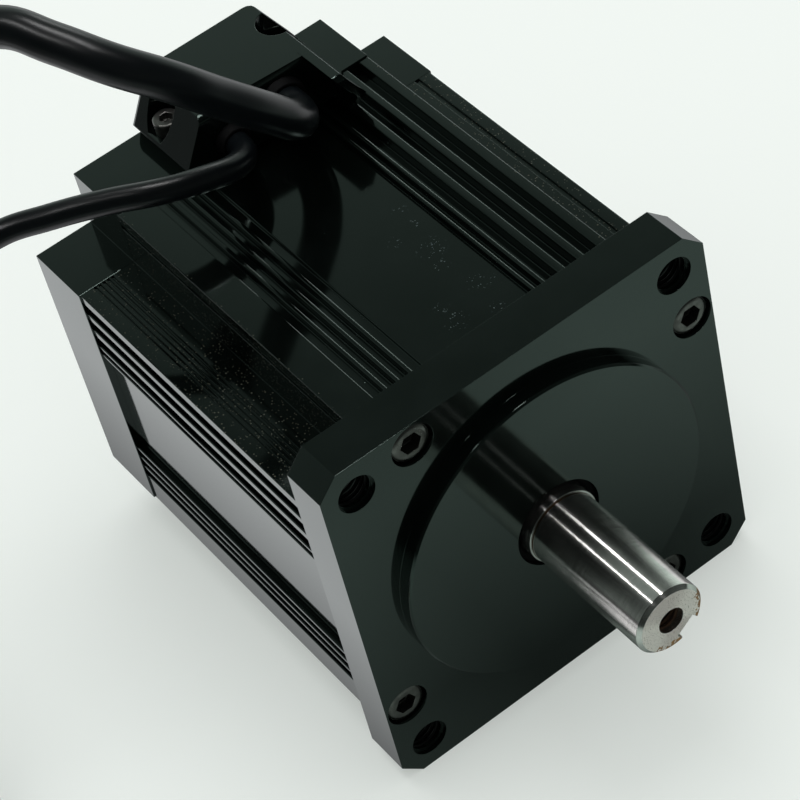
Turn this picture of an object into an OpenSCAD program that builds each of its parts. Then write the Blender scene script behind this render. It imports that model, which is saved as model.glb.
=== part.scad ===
// Brushless direct-current motor with a square mounting flange, a ribbed square housing and two leads.
// The origin is on the shaft's axis at the flange's front face. The shaft points along -Y, +Z is up.

/* [Flange] */
// Width and height of the square mounting flange
flange_w = 110; // [105:0.5:120]
// Thickness of the mounting flange
flange_t = 12.7; // [10:0.1:16]
// Leg of the chamfer on the flange's four corners
flange_chamfer = 5.4; // [2:0.1:8]
// Distance from the flange's side edge to the centring pilot
pilot_edge = 11.8; // [11:0.1:15]
// Height of the centring pilot
pilot_h = 4; // [2:0.1:5]
// Distance of a mounting hole's centre from each of the two edges beside it
mount_hole_edge = 9.28; // [8:0.01:10]
// Radius of the four mounting holes
mount_hole_r = 4.5; // [3:0.1:5]
// Radius of the thread relief ring at each mounting hole's mouth
mount_mouth_r = 5; // [4.6:0.1:5.4]
// Depth of that ring
mount_mouth_d = 1.5; // [0.5:0.1:3]

/* [Screws] */
// Distance of a body screw's centre below the housing's flat side
screw_edge = 5.2; // [5:0.1:6]
// Distance of a body screw's centre from the corner notch beside it
screw_to_notch = 8.5; // [7:0.1:12]
// Radius of the body screws
screw_r = 3; // [2:0.1:3.2]
// Radius of their heads
screw_head_r = 5; // [4:0.1:5.2]
// Height of their heads
screw_head_h = 6; // [4:0.1:7]
// Radial room between a screw's head and its counterbore
screw_head_room = 0.7; // [0.2:0.1:0.8]
// Radial room around the heads of the rear screws, which sit close to the cap's sides
rear_head_room = 0.2; // [0.1:0.05:0.4]
// Depth of a head's top below the face it is sunk in
screw_sink = 0.6; // [0:0.1:2]
// Length of thread below the joint face
screw_grip = 13; // [8:1:18]
// Width of the hexagon socket, across its corners
socket_w = 5.8; // [3:0.1:6]
// Depth of the hexagon socket
socket_d = 3; // [1:0.1:4]
// Radial room around a screw's shank
shank_room = 0.3; // [0.1:0.1:0.5]

/* [Housing] */
// Length of the housing in front of the lamination stack
front_room = 15.3; // [14:0.1:20]
// Length of the housing behind the lamination stack
rear_room = 24.9; // [24:0.1:32]
// Distance by which the housing's flat sides lie inside the flange's
body_inset = 1; // [0.5:0.1:2]
// Thickness of the housing's wall between its bore and a flat side
body_wall = 9; // [8.5:0.1:10]
// Depth of the wide grooves
groove_deep = 3.5; // [1:0.1:4]
// Depth of the groove over the body screws, beside each corner's land
groove_first = 1.9; // [1:0.1:1.9]
// Depth of the narrow grooves
groove_shallow = 2.2; // [1:0.1:3]
// Depth of the wide centre band below the ribs
band_sink = 1.5; // [0.5:0.1:2]
// Width and height of the notch along each corner
corner_notch = 16; // [14:0.1:17]
// Depth of the fine ribbing in the corner notches
fine_rib_d = 0.6; // [0.2:0.1:0.8]

/* [Rear cap] */
// Thickness of the rear cap
cap_t = 20.5; // [18:0.1:24]
// Distance by which the rear cap's flat sides lie inside the flange's
cap_inset = 0.55; // [0:0.05:1]
// Length of the spigot that enters the housing at each end
spigot_len = 4.5; // [3:0.1:6]
// Thickness of the spigot's wall
spigot_wall = 3.9; // [2:0.1:5]
// Radial play of the spigots in the housing's bore
spigot_play = 0.05; // [0.02:0.01:0.2]

/* [Shaft] */
// Radius of the output shaft
shaft_r = 9.5; // [9:0.1:9.9]
// Length of the shaft in front of the flange's face
shaft_len = 45; // [35:1:60]
// Chamfer on the shaft's end
shaft_chamfer = 1; // [0.3:0.1:1.5]
// Radius of the bearing seat, which shows as a short collar
seat_r = 10; // [9.9:0.1:10.5]
// Length of the collar in front of the pilot
collar_len = 1.8; // [0.5:0.1:3]
// Radius of the tapped bore in the shaft's end
end_bore_r = 3.5; // [2:0.1:4]
// Depth of the tapped bore
end_bore_d = 20; // [10:1:25]
// Width of the keyway
key_w = 6; // [4:0.1:6.5]
// Depth of the keyway
key_d = 3.5; // [2:0.1:3.8]
// Length of the keyway from the shaft's end
key_len = 28; // [15:1:32]
// Direction of the keyway around the axis, in degrees from +X towards +Z
key_angle = -55; // [-180:1:180]

/* [Bearings] */
// Outer radius of the front bearing
front_outer_r = 23.5; // [21:0.5:25]
// Width of the front bearing
front_w = 14; // [12:0.5:14]
// Bore radius of the rear bearing
rear_seat_r = 8.5; // [7.5:0.1:9]
// Outer radius of the rear bearing
rear_outer_r = 20; // [18:0.5:21]
// Width of the rear bearing
rear_w = 12; // [10:0.5:12]
// Balls in each bearing
ball_count = 8; // [6:1:9]
// Gap between a ball and its races
race_gap = 0.2; // [0.1:0.01:0.3]
// Thickness of the preload washer behind the rear bearing
washer_t = 1.4; // [0.8:0.1:1.5]

/* [Stator and rotor] */
// Length of the stator's lamination stack
stack_len = 55; // [35:1:120]
// Number of stator teeth
teeth = 12; // [9:3:12]
// Thickness of the stator's back iron
yoke_t = 6.6; // [6:0.1:7.5]
// Depth of the slots from the back iron to the stator's inner bore
slot_deep = 9.9; // [9.5:0.1:10.1]
// Gap between the rotor's magnets and the stator
air_gap = 0.8; // [0.6:0.1:1.2]
// Width of a stator tooth, as a share of the slot pitch
tooth_share = 0.493; // [0.35:0.001:0.5]
// Thickness of the teeth's tips
tooth_tip_t = 2.48; // [2:0.01:3]
// Width of the slot openings between the tooth tips
slot_open = 2.6; // [2:0.1:4]
// Thickness of a coil's side beside its tooth, as a share of the slot pitch
coil_share = 0.191; // [0.12:0.001:0.195]
// Reach of the coils past the stack
coil_reach = 7; // [5:0.1:8]
// Thickness of the rotor's magnets
magnet_t = 3.7; // [2:0.1:5]
// Number of magnets
poles = 8; // [4:2:8]
// Gap between neighbouring magnets
magnet_gap = 1.6; // [1:0.1:4]
// Length by which the rotor passes the stack at the rear
rotor_over = 3; // [0:0.5:4]

/* [Terminal block] */
// Reach of the terminal block's foot to the left of the axis
block_left = 19.6; // [19.2:0.1:21]
// Reach of its foot to the right of the axis
block_right = 27.6; // [26.5:0.1:29]
// Height of the block's roof above the rear cap
block_h = 16.75; // [16:0.05:20]
// Length of the block's closed part, forward from the cap's rear face
block_len = 26.4; // [25:0.1:30]
// Height above the cap at which the block's sides begin to lean in
block_wall_h = 4.25; // [3:0.05:8]
// Lean of the bevelled sides, as a share of their height
bevel_share = 0.576; // [0.3:0.01:0.7]
// Radius on the front edge of the roof
block_round = 2; // [0.5:0.1:3]
// Thickness of the block's walls
block_wall = 3; // [2:0.1:4]
// Length of the side fin in front of the block
fin_len = 13.7; // [8:0.1:16]
// Thickness of the side fin
fin_t = 2.6; // [1.5:0.1:3]
// Distance of the block's left screw from the axis
block_screw_left = 14.4; // [14:0.1:15]
// Distance of its right screw from the axis
block_screw_right = 21; // [20.5:0.1:21.5]
// Distance of the block's screws from the cap's rear face
block_screw_back = 10.7; // [9:0.1:12]
// Radius of the block's screws
block_screw_r = 2; // [1.5:0.1:2.5]
// Radius of their heads
block_head_r = 3.5; // [2.5:0.1:3.6]
// Height of their heads
block_head_h = 4; // [2:0.1:4]
// Height of their seats above the cap
block_seat_h = 5.25; // [3:0.05:7]
// Radius of the upright tool channel above each head, which opens through the bevelled side
channel_r = 5.3; // [4:0.1:5.5]
// Web between a tool channel and the room for the wires
channel_web = 1.2; // [0.8:0.1:1.5]

/* [Leads] */
// Radius of the power lead
power_r = 5; // [4:0.1:5.2]
// Radius of the sensor lead
sensor_r = 3.25; // [2:0.05:3.5]
// Offset of the power lead's exit from the axis
power_exit_x = 9.5; // [8:0.1:9.8]
// Depth of the power lead's exit below the block's roof
power_exit_drop = 8.7; // [8.2:0.1:9.4]
// Offset of the sensor lead's exit from the axis
sensor_exit_x = -6; // [-8:0.1:-5]
// Depth of the sensor lead's exit below the block's roof
sensor_exit_drop = 10.7; // [8.5:0.1:11.5]
// Rubber wall of the grommets around the leads
grommet_wall = 1.6; // [1:0.1:1.8]
// Length of the grommets in front of the block
grommet_nose = 2.5; // [1:0.1:4]
// Thickness of the strap that ties the leads
tie_t = 1; // [0.6:0.1:1.5]
// Width of that strap
tie_w = 5; // [3:0.1:8]
// Width of the power connector
power_plug_w = 20; // [18:0.5:22]
// Length of the power connector's body
power_plug_len = 30; // [24:1:34]
// Width of the sensor connector
sensor_plug_w = 13; // [11:0.5:14]
// Length of the sensor connector's body
sensor_plug_len = 16; // [12:1:20]
// Length of the strain relief behind each connector
relief_len = 10; // [6:1:14]

/* [Hidden] */
$fn = 64;

eps = 0.01;
cut = 1;
tap_play = 0.05;
flange_half = flange_w / 2;
floor_z = -flange_half;
pilot_r = flange_half - pilot_edge;
mount_hole_pos = flange_half - mount_hole_edge;

// Housing and rear cap
body_half = flange_half - body_inset;
bore_r = body_half - body_wall;
body_len = front_room + stack_len + rear_room;
body_front = flange_t;
body_rear = body_front + body_len;
cap_half = flange_half - cap_inset;
cap_rear = body_rear + cap_t;
notch_in = body_half - corner_notch;
cap_panel = notch_in;
screw_far = body_half - screw_edge;
screw_near = notch_in - screw_to_notch;

// Screw centres, turned from one corner to the next like a pinwheel
screw_spots = [
    [screw_far, screw_near], [-screw_near, screw_far],
    [-screw_far, -screw_near], [screw_near, -screw_far]
];

// Ribs on one face of the housing: start and end as shares of the way from its middle to a corner notch
rib_shares = [
    [-1, -0.7697], [-0.6947, -0.6632], [-0.6026, -0.5711], [-0.5079, -0.4763],
    [-0.3974, 0.4079], [0.4237, 0.4526], [0.4974, 0.5289], [0.6237, 0.6842],
    [0.7737, 0.8316], [0.9263, 1]
];
band_index = 4;
// Fine ribs on one wall of a corner notch: start and end as shares of the notch
fine_shares = [[0.40, 0.44], [0.48, 0.52], [0.56, 0.60], [0.64, 0.68], [0.72, 0.76]];
// Groove and outer lip on the other wall: as shares of the notch
lip_shares = [[0.70, 0.78]];

// Rotor and stator, from the housing's bore inwards and along the axis
yoke_r = bore_r - yoke_t;
stator_bore_r = yoke_r - slot_deep;
magnet_r = stator_bore_r - air_gap;
core_r = magnet_r - magnet_t;
rotor_bore_r = core_r / 2;
stack_front = body_front + front_room;
stack_rear = stack_front + stack_len;
rotor_front = stack_front + rotor_over / 3;
rotor_rear = stack_rear + rotor_over;
tip_r = stator_bore_r + tooth_tip_t;
slot_pitch = 2 * PI * tip_r / teeth;
tooth_w = slot_pitch * tooth_share;
coil_t = slot_pitch * coil_share;
coil_end = stack_rear + coil_reach + coil_t * 0.4;
stack_play = 0.03;
core_play = 0.02;

// Bearings along the axis
front_bearing_y = flange_t / 5;
front_bearing_end = front_bearing_y + front_w;
hub_end = front_bearing_end + front_w / 20;
front_hub_r = front_outer_r * 1.2;
rear_bearing_y = body_rear + rear_w / 20;
rear_bearing_end = rear_bearing_y + rear_w;
rear_pocket_end = rear_bearing_end + washer_t * 1.1;
rear_hub_r = rear_outer_r * 1.2;
front_pitch_r = (seat_r + front_outer_r) / 2;
rear_pitch_r = (rear_seat_r + rear_outer_r) / 2;
front_ball_r = (front_outer_r - seat_r) * 0.29;
rear_ball_r = (rear_outer_r - rear_seat_r) * 0.29;
race_share = 0.5;
bearing_play = 0.02;

// Seal and retaining rings
seal_r = seat_r * 1.2;
seal_front = -pilot_h * 0.6;
seal_end = flange_t * 0.05;
seal_lip_play = 0.05;
ring_t = flange_t / 11;
ring_front_y = front_bearing_y - ring_t - 0.02 * ring_t;
ring_reach = seat_r * 0.2;
ring_groove = seat_r * 0.06;
ring_side_room = ring_t * 0.05;
ring_rear_y = rear_bearing_end + ring_side_room;
ring_mouth_deg = 50;
shaft_rear = ring_rear_y + ring_t * 2;
relief_end = shaft_rear + ring_t;

// Terminal block
block_top = cap_half + block_h;
block_front = cap_rear - block_len;
block_screw_y = cap_rear - block_screw_back;
bevel_z = cap_half + block_wall_h;
block_seat_z = cap_half + block_seat_h;
block_screw_spots = [-block_screw_left, block_screw_right];
inner_left = block_screw_left - channel_r - channel_web;
inner_right = block_screw_right - channel_r - channel_web;
power_exit_z = block_top - power_exit_drop;
sensor_exit_z = block_top - sensor_exit_drop;
slot_x = inner_left;
slot_front = body_rear + cap_t * 0.06;
slot_rear = rear_bearing_end + washer_t * 0.2;

// Wires inside
wire_r = power_r * 0.28;
wire_step = power_r * 0.9;
thin_wire_r = sensor_r * 0.2;
thin_wire_step = sensor_r * 0.5;
wire_level = yoke_r * 0.95;
wire_rise_y = slot_front + (slot_rear - slot_front) * 0.35;
thin_wire_rise_y = slot_front + (slot_rear - slot_front) * 0.8;
wire_top = block_top - block_wall * 2;

// Sensor board
board_t = flange_t / 8;
board_y = stack_rear + coil_reach + coil_t + board_t / 3;
board_in_r = stator_bore_r * 0.78;
board_out_r = yoke_r * 1.08;
thin_wire_level = rear_hub_r + thin_wire_r * 2;
window_z = wire_level - wire_r * 1.2;
guard_step = 0.2;
guard_in_r = yoke_r + guard_step;
guard_t = coil_t * 0.55;
insulator_t = coil_t * 0.3;
post_r = guard_t * 0.9;
post_ring_r = guard_in_r + guard_t / 2;
post_turns = [30, 150, 270];
post_reach = board_y - stack_rear;
guard_end = stack_rear + insulator_t + coil_reach;
board_screw_r = post_r * 0.55;
board_head_r = post_r * 1.3;
sensor_turns = [210, 240, 270];
sensor_w = magnet_t * 1.1;
sensor_t = magnet_t * 0.42;
sensor_ring_r = core_r + magnet_t / 2;
sensor_gap = 2;

// Routes of the two leads as shares of the flange's width, from the block's front face to the surface underneath
power_air_shares = [
    [0.077, -0.082, 0.582], [0.036, -0.141, 0.632], [-0.027, -0.163, 0.709], [-0.127, -0.168, 0.823],
    [-0.227, -0.159, 0.936], [-0.309, -0.109, 1.005], [-0.373, -0.018, 1.048], [-0.436, 0.100, 1.068],
    [-0.527, 0.200, 1.018], [-0.655, 0.246, 0.900], [-0.782, 0.237, 0.727], [-0.900, 0.191, 0.527],
    [-1.018, 0.109, 0.300], [-1.127, 0.009, 0.064], [-1.236, -0.109, -0.155], [-1.336, -0.254, -0.327],
    [-1.400, -0.427, -0.423]
];
power_floor_shares = [[-1.418, -0.618], [-1.418, -0.818], [-1.425, -1.017], [-1.450, -1.202]];
sensor_air_shares = [
    [-0.068, -0.072, 0.560], [-0.118, -0.118, 0.586], [-0.191, -0.132, 0.614], [-0.291, -0.113, 0.634],
    [-0.400, -0.054, 0.640], [-0.509, 0.005, 0.636], [-0.618, 0.055, 0.627], [-0.736, 0.091, 0.573],
    [-0.855, 0.091, 0.464], [-0.955, 0.046, 0.318], [-1.036, -0.036, 0.145], [-1.109, -0.136, -0.036],
    [-1.182, -0.254, -0.209], [-1.250, -0.391, -0.355], [-1.305, -0.545, -0.435]
];
sensor_floor_shares = [[-1.336, -0.702], [-1.340, -0.847], [-1.325, -1.017], [-1.285, -1.172]];
tie_y_share = -0.827;

function air_run(shares) = [for (s = shares) [0, block_front, 0] + s * flange_w];
function floor_run(shares, r) = [
    for (s = shares) [s[0] * flange_w, block_front + s[1] * flange_w, floor_z + tie_t + r]
];

power_route = concat(
    [[power_exit_x, block_front - grommet_nose, power_exit_z]],
    air_run(power_air_shares), floor_run(power_floor_shares, power_r)
);
sensor_route = concat(
    [[sensor_exit_x, block_front - grommet_nose, sensor_exit_z]],
    air_run(sensor_air_shares), floor_run(sensor_floor_shares, sensor_r)
);

function unit(v) = v / norm(v);
function last(v) = v[len(v) - 1];
// Directions along a route: the first is given, the last follows the last stretch
function route_dirs(p, first) = [
    for (i = [0:len(p) - 1])
        i == 0 ? first
        : i == len(p) - 1 ? unit(p[i] - p[i - 1])
        : unit(unit(p[i] - p[i - 1]) + unit(p[i + 1] - p[i]))
];
// Sideways vectors carried along a route without twist
function carried(dirs, side, i = 0) = i == len(dirs) ? [] :
    let (s = unit(side - dirs[i] * (side * dirs[i])))
    concat([s], carried(dirs, s, i + 1));
function ring_points(c, d, s, r, sides) = let (t = cross(d, s)) [
    for (k = [0:sides - 1]) let (a = 360 * k / sides) c + r * (cos(a) * s + sin(a) * t)
];
function route_len(p, i = 1) = i == len(p) ? 0 : norm(p[i] - p[i - 1]) + route_len(p, i + 1);

echo(str("power lead ", route_len(power_route), " mm, sensor lead ", route_len(sensor_route), " mm"));

// A lead swept along its route as one closed surface
module swept_lead(route, r, sides) {
    dirs = route_dirs(route, [0, -1, 0]);
    sideways = carried(dirs, [0, 0, 1]);
    n = len(route);
    rings = [for (i = [0:n - 1]) each ring_points(route[i], dirs[i], sideways[i], r, sides)];
    walls = [
        for (i = [0:n - 2]) for (k = [0:sides - 1])
            let (a = i * sides + k, b = i * sides + (k + 1) % sides)
            each [[a, a + sides, b + sides], [a, b + sides, b]]
    ];
    start_cap = [for (k = [1:sides - 2]) [0, k, k + 1]];
    end_cap = [for (k = [1:sides - 2]) let (z = (n - 1) * sides) [z, z + k + 1, z + k]];
    polyhedron(points = rings, faces = concat(walls, start_cap, end_cap), convexity = 10);
}

// A flat shape in X and Z, given thickness along Y from y0 onward
module slab(y0, thick) {
    translate([0, y0 + thick, 0])
        rotate([90, 0, 0])
            linear_extrude(height = thick)
                children();
}

// A round bar along Y
module bar(y0, thick, r, spot = [0, 0]) {
    slab(y0, thick)
        translate(spot)
            circle(r = r);
}

// A shape of radius and Y, spun about the shaft's axis
module spun() {
    rotate([-90, 0, 0])
        rotate_extrude(convexity = 6)
            children();
}

module ring_2d(outer, inner) {
    difference() {
        circle(r = outer);
        circle(r = inner);
    }
}

module rounded_2d(w, h, r) {
    square([w - 2 * r, h], center = true);
    square([w, h - 2 * r], center = true);
    for (x = [-1, 1]) {
        for (y = [-1, 1]) {
            translate([x * (w / 2 - r), y * (h / 2 - r)])
                circle(r = r);
        }
    }
}

// Socket head screw along -Z with the head's seat at z = 0
module cap_screw(shank_r, shank_len, head_r, head_h, hex_w, hex_d) {
    difference() {
        union() {
            translate([0, 0, -shank_len])
                cylinder(r = shank_r, h = shank_len + eps);
            cylinder(r = head_r, h = head_h * 0.92);
            translate([0, 0, head_h * 0.92])
                cylinder(r1 = head_r, r2 = head_r - head_h * 0.08, h = head_h * 0.08);
        }
        translate([0, 0, head_h - hex_d])
            cylinder(d = hex_w, h = hex_d + cut, $fn = 6);
    }
}

// The flange's outline with its chamfered corners
module flange_2d() {
    h = flange_w / 2;
    c = h - flange_chamfer;
    polygon([[-c, -h], [c, -h], [h, -c], [h, c], [c, h], [-c, h], [-h, c], [-h, -c]]);
}

module front_flange() {
    color("#1b211f")
    difference() {
        union() {
            slab(0, flange_t)
                flange_2d();
            spun()
                polygon([
                    [0, -pilot_h], [pilot_r - pilot_h / 8, -pilot_h], [pilot_r, -pilot_h * 7 / 8],
                    [pilot_r, eps], [0, eps]
                ]);
            slab(flange_t - eps, spigot_len + eps)
                ring_2d(bore_r - spigot_play, bore_r - spigot_play - spigot_wall);
            bar(flange_t - eps, hub_end - flange_t + eps, front_hub_r);
        }
        for (x = [-1, 1]) {
            for (z = [-1, 1]) {
                bar(-cut, flange_t + 2 * cut, mount_hole_r, [x, z] * mount_hole_pos);
                bar(-cut, mount_mouth_d + cut, mount_mouth_r, [x, z] * mount_hole_pos);
            }
        }
        for (s = screw_spots) {
            bar(-cut, flange_t + 2 * cut, screw_r + shank_room, s);
            bar(-cut, screw_head_h + screw_sink + cut, screw_head_r + screw_head_room, s);
        }
        bar(-pilot_h - cut, pilot_h + seal_end + cut, seal_r);
        bar(0, flange_t, seat_r + ring_reach * 1.3);
        bar(front_bearing_y, hub_end, front_outer_r + bearing_play);
    }
}

// One quarter of the housing's outline, running clockwise from its corner notch
function quarter(h, n) = concat(
    [[-n, n]],
    [for (g = lip_shares) each [
        [-n, n + g[0] * (h - n)], [-n + fine_rib_d, n + g[0] * (h - n)],
        [-n + fine_rib_d, n + g[1] * (h - n)], [-n, n + g[1] * (h - n)]
    ]],
    [for (i = [0:len(rib_shares) - 1]) each rib_points(i, h)],
    [for (k = [len(fine_shares) - 1:-1:0]) let (g = fine_shares[k]) each [
        [n, n + g[1] * (h - n)], [n - fine_rib_d, n + g[1] * (h - n)],
        [n - fine_rib_d, n + g[0] * (h - n)], [n, n + g[0] * (h - n)]
    ]]
);
function rib_end(i, k) = rib_shares[i][k] * notch_in;
function groove_floor(i) =
    i == 0 ? groove_first : (i >= 6 ? groove_deep : (i == band_index ? band_sink * 1.3 : groove_shallow));
function rib_points(i, h) =
    let (top = i == band_index ? h - band_sink : h, low = h - groove_floor(i))
    i == len(rib_shares) - 1
    ? [[rib_end(i, 0), top], [rib_end(i, 1), top]]
    : [[rib_end(i, 0), top], [rib_end(i, 1), top], [rib_end(i, 1), low], [rib_end(i + 1, 0), low]];
function turned(p, k) = k == 0 ? p : turned([for (q = p) [q[1], -q[0]]], k - 1);

module housing_2d() {
    polygon([for (k = [0:3]) each turned(quarter(body_half, notch_in), k)]);
}

module housing() {
    color("#1a201e")
    difference() {
        slab(body_front, body_len)
            difference() {
                housing_2d();
                circle(r = bore_r);
            }
        for (s = screw_spots) {
            bar(body_front - cut, screw_grip + 2 * cut, screw_r + tap_play, s);
            bar(body_rear - screw_grip - cut, screw_grip + 2 * cut, screw_r + tap_play, s);
        }
    }
}

module cap_2d() {
    square([2 * cap_half, 2 * cap_panel], center = true);
    square([2 * cap_panel, 2 * cap_half], center = true);
}

module rear_cap() {
    ring_in = bore_r - spigot_play - spigot_wall;
    pocket_end = rear_bearing_end + washer_t * 0.3;
    color("#1b211f")
    difference() {
        union() {
            slab(body_rear, cap_t)
                cap_2d();
            slab(body_rear - spigot_len, spigot_len + eps)
                ring_2d(bore_r - spigot_play, ring_in);
        }
        slab(body_rear - spigot_len - cut, pocket_end - body_rear + spigot_len + cut)
            ring_2d(ring_in, rear_hub_r);
        bar(body_rear - spigot_len - cut, spigot_len + cut + rear_w / 20, rear_hub_r + cut);
        bar(body_rear - cut, rear_pocket_end - body_rear + cut, rear_outer_r + bearing_play);
        bar(body_rear, relief_end - body_rear, rear_seat_r * 1.4);
        for (s = screw_spots) {
            bar(body_rear - cut, cap_t + 2 * cut, screw_r + shank_room, s);
            bar(cap_rear - screw_head_h - screw_sink, screw_head_h + screw_sink + cut,
                screw_head_r + rear_head_room, s);
        }
        translate([-slot_x, slot_front, wire_level - wire_r * 2])
            cube([2 * slot_x, slot_rear - slot_front, cap_half]);
        for (x = block_screw_spots) {
            translate([x, block_screw_y, cap_half - block_wall * 2.8])
                cylinder(r = block_screw_r + tap_play, h = cap_half);
        }
    }
}

module flange_screws() {
    color("#2a2c2e")
    for (s = screw_spots) {
        translate([s[0], screw_head_h + screw_sink, s[1]])
            rotate([90, 0, 0])
                cap_screw(screw_r, flange_t + screw_grip - screw_head_h - screw_sink,
                    screw_head_r, screw_head_h, socket_w, socket_d);
    }
}

module rear_screws() {
    color("#2a2c2e")
    for (s = screw_spots) {
        translate([s[0], cap_rear - screw_head_h - screw_sink, s[1]])
            rotate([-90, 0, 0])
                cap_screw(screw_r, cap_t + screw_grip - screw_head_h - screw_sink,
                    screw_head_r, screw_head_h, socket_w, socket_d);
    }
}

// The block across its width: both sides lean in above their upright foot
module block_face_2d(base) {
    lean = (block_top - bevel_z) * bevel_share;
    under = (bevel_z - cap_half) * 0.42;
    polygon([
        [-block_left + under, base], [-block_left, bevel_z], [-block_left + lean, block_top],
        [block_right - lean, block_top], [block_right, bevel_z], [block_right - under, base]
    ]);
}

// The fin across its width: a strip along the right side
module fin_face_2d() {
    difference() {
        block_face_2d(body_half);
        translate([-fin_t, -cut])
            block_face_2d(body_half);
        translate([-fin_t, 0])
            block_face_2d(body_half);
    }
}

// The block from the side, with the rounded front edge of its roof
module block_side_2d() {
    difference() {
        translate([block_front, 0])
            square([block_len, block_top]);
        translate([block_front - cut, block_top - block_round])
            square([block_round + cut, block_round + cut]);
    }
    translate([block_front + block_round, block_top - block_round])
        circle(r = block_round);
}

// Extrudes a shape of Y and Z along X
module across(x0, wide) {
    translate([x0, 0, 0])
        rotate([90, 0, 90])
            linear_extrude(height = wide)
                children();
}

module block_recess(x) {
    translate([x, block_screw_y, 0]) {
        translate([0, 0, block_seat_z])
            cylinder(r = channel_r, h = block_top);
        cylinder(r = block_screw_r + shank_room, h = block_top - block_round);
    }
}

module terminal_block() {
    fin_front = block_front - fin_len;
    color("#1b211f")
    difference() {
        union() {
            intersection() {
                union() {
                    slab(body_rear, cap_t)
                        block_face_2d(cap_half);
                    slab(block_front, body_rear - block_front + eps)
                        block_face_2d(body_half);
                }
                across(-block_left, block_left + block_right)
                    block_side_2d();
            }
            intersection() {
                slab(fin_front, fin_len + block_round + eps)
                    fin_face_2d();
                across(0, block_right + cut)
                    polygon([
                        [fin_front, block_top - block_round * 0.6], [fin_front + block_round * 0.6, block_top],
                        [block_front + block_round * 2, block_top], [block_front + block_round * 2, body_half],
                        [fin_front + fin_len / 2, body_half], [fin_front, body_half + (block_top - body_half) * 0.7]
                    ]);
            }
        }
        for (x = block_screw_spots) block_recess(x);
        translate([-inner_left, block_front + block_wall, body_half - cut])
            cube([inner_left + inner_right, block_len - 2 * block_wall, block_top - block_wall - body_half + cut]);
        bar(block_front - cut, block_wall * 2 + cut, power_r + grommet_wall / 2, [power_exit_x, power_exit_z]);
        bar(block_front - cut, block_wall * 2 + cut, sensor_r + grommet_wall / 2, [sensor_exit_x, sensor_exit_z]);
    }
}

module block_screws() {
    color("#2c2e30")
    for (x = block_screw_spots) {
        translate([x, block_screw_y, block_seat_z])
            cap_screw(block_screw_r, block_seat_h + block_wall * 2.5, block_head_r, block_head_h,
                block_head_r, block_head_h / 2);
    }
}

// A grommet that fills its hole in the block's front wall and carries the lead's outer face
module grommet(x, z, lead_r) {
    translate([x, block_front, z])
        rotate([90, 0, 0]) {
            translate([0, 0, -block_wall])
                cylinder(r = lead_r + grommet_wall / 2 - tap_play, h = block_wall + eps);
            cylinder(r1 = lead_r + grommet_wall, r2 = lead_r + grommet_wall / 2, h = grommet_nose);
        }
}

module power_grommet() {
    color("#141414") grommet(power_exit_x, power_exit_z, power_r);
}

module sensor_grommet() {
    color("#141414") grommet(sensor_exit_x, sensor_exit_z, sensor_r);
}

module shaft() {
    color("#b9bdc0")
    difference() {
        spun()
            polygon([
                [end_bore_r, -shaft_len], [shaft_r - shaft_chamfer, -shaft_len],
                [shaft_r, -shaft_len + shaft_chamfer], [shaft_r, -pilot_h - collar_len],
                [seat_r, -pilot_h - collar_len], [seat_r, ring_front_y - ring_side_room],
                [seat_r - ring_groove, ring_front_y - ring_side_room],
                [seat_r - ring_groove, front_bearing_y], [seat_r, front_bearing_y],
                [seat_r, front_bearing_end], [seat_r * 1.3, front_bearing_end],
                [seat_r * 1.3, rotor_front], [rotor_bore_r, rotor_front], [rotor_bore_r, rotor_rear],
                [rotor_bore_r * 0.9, rotor_rear], [rotor_bore_r * 0.9, rear_bearing_y],
                [rear_seat_r, rear_bearing_y], [rear_seat_r, ring_rear_y - ring_side_room],
                [rear_seat_r - ring_groove, ring_rear_y - ring_side_room],
                [rear_seat_r - ring_groove, ring_rear_y + ring_t + ring_side_room],
                [rear_seat_r, ring_rear_y + ring_t + ring_side_room],
                [rear_seat_r, shaft_rear], [0, shaft_rear],
                [0, -shaft_len + end_bore_d + end_bore_r * 0.6], [end_bore_r, -shaft_len + end_bore_d]
            ]);
        rotate([0, -key_angle, 0]) {
            translate([shaft_r - key_d, -shaft_len - cut, -key_w / 2])
                cube([key_d + cut, key_len - key_w / 2 + cut, key_w]);
            translate([shaft_r - key_d, -shaft_len + key_len - key_w / 2, 0])
                rotate([0, 90, 0])
                    cylinder(d = key_w, h = key_d + cut);
        }
    }
}

module rotor_core() {
    color("#8d9296")
    slab(rotor_front, rotor_rear - rotor_front)
        difference() {
            ring_2d(core_r, rotor_bore_r + core_play);
            for (a = [0:60:300]) {
                rotate(a)
                    translate([(core_r + rotor_bore_r) / 2, 0])
                        circle(r = (core_r - rotor_bore_r) / 4);
            }
        }
}

module rotor_magnets() {
    wedge_deg = 360 / poles - magnet_gap / magnet_r * 180 / PI;
    color("#6f7478")
    slab(rotor_front, rotor_rear - rotor_front)
        for (k = [0:poles - 1]) {
            rotate(360 * k / poles)
                intersection() {
                    ring_2d(magnet_r, core_r + core_play);
                    polygon([
                        [0, 0], 2 * magnet_r * [cos(wedge_deg / 2), -sin(wedge_deg / 2)],
                        2 * magnet_r * [cos(wedge_deg / 2), sin(wedge_deg / 2)]
                    ]);
                }
        }
}

module retaining_ring(y0, seat) {
    slab(y0, ring_t)
        difference() {
            ring_2d(seat + ring_reach, seat - ring_groove + core_play);
            polygon([
                [0, 0], 2 * seat * [cos(ring_mouth_deg / 2), -sin(ring_mouth_deg / 2)],
                2 * seat * [cos(ring_mouth_deg / 2), sin(ring_mouth_deg / 2)]
            ]);
        }
}

module retaining_rings() {
    color("#5b5f62") {
        retaining_ring(ring_front_y, seat_r);
        retaining_ring(ring_rear_y, rear_seat_r);
    }
}

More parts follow.
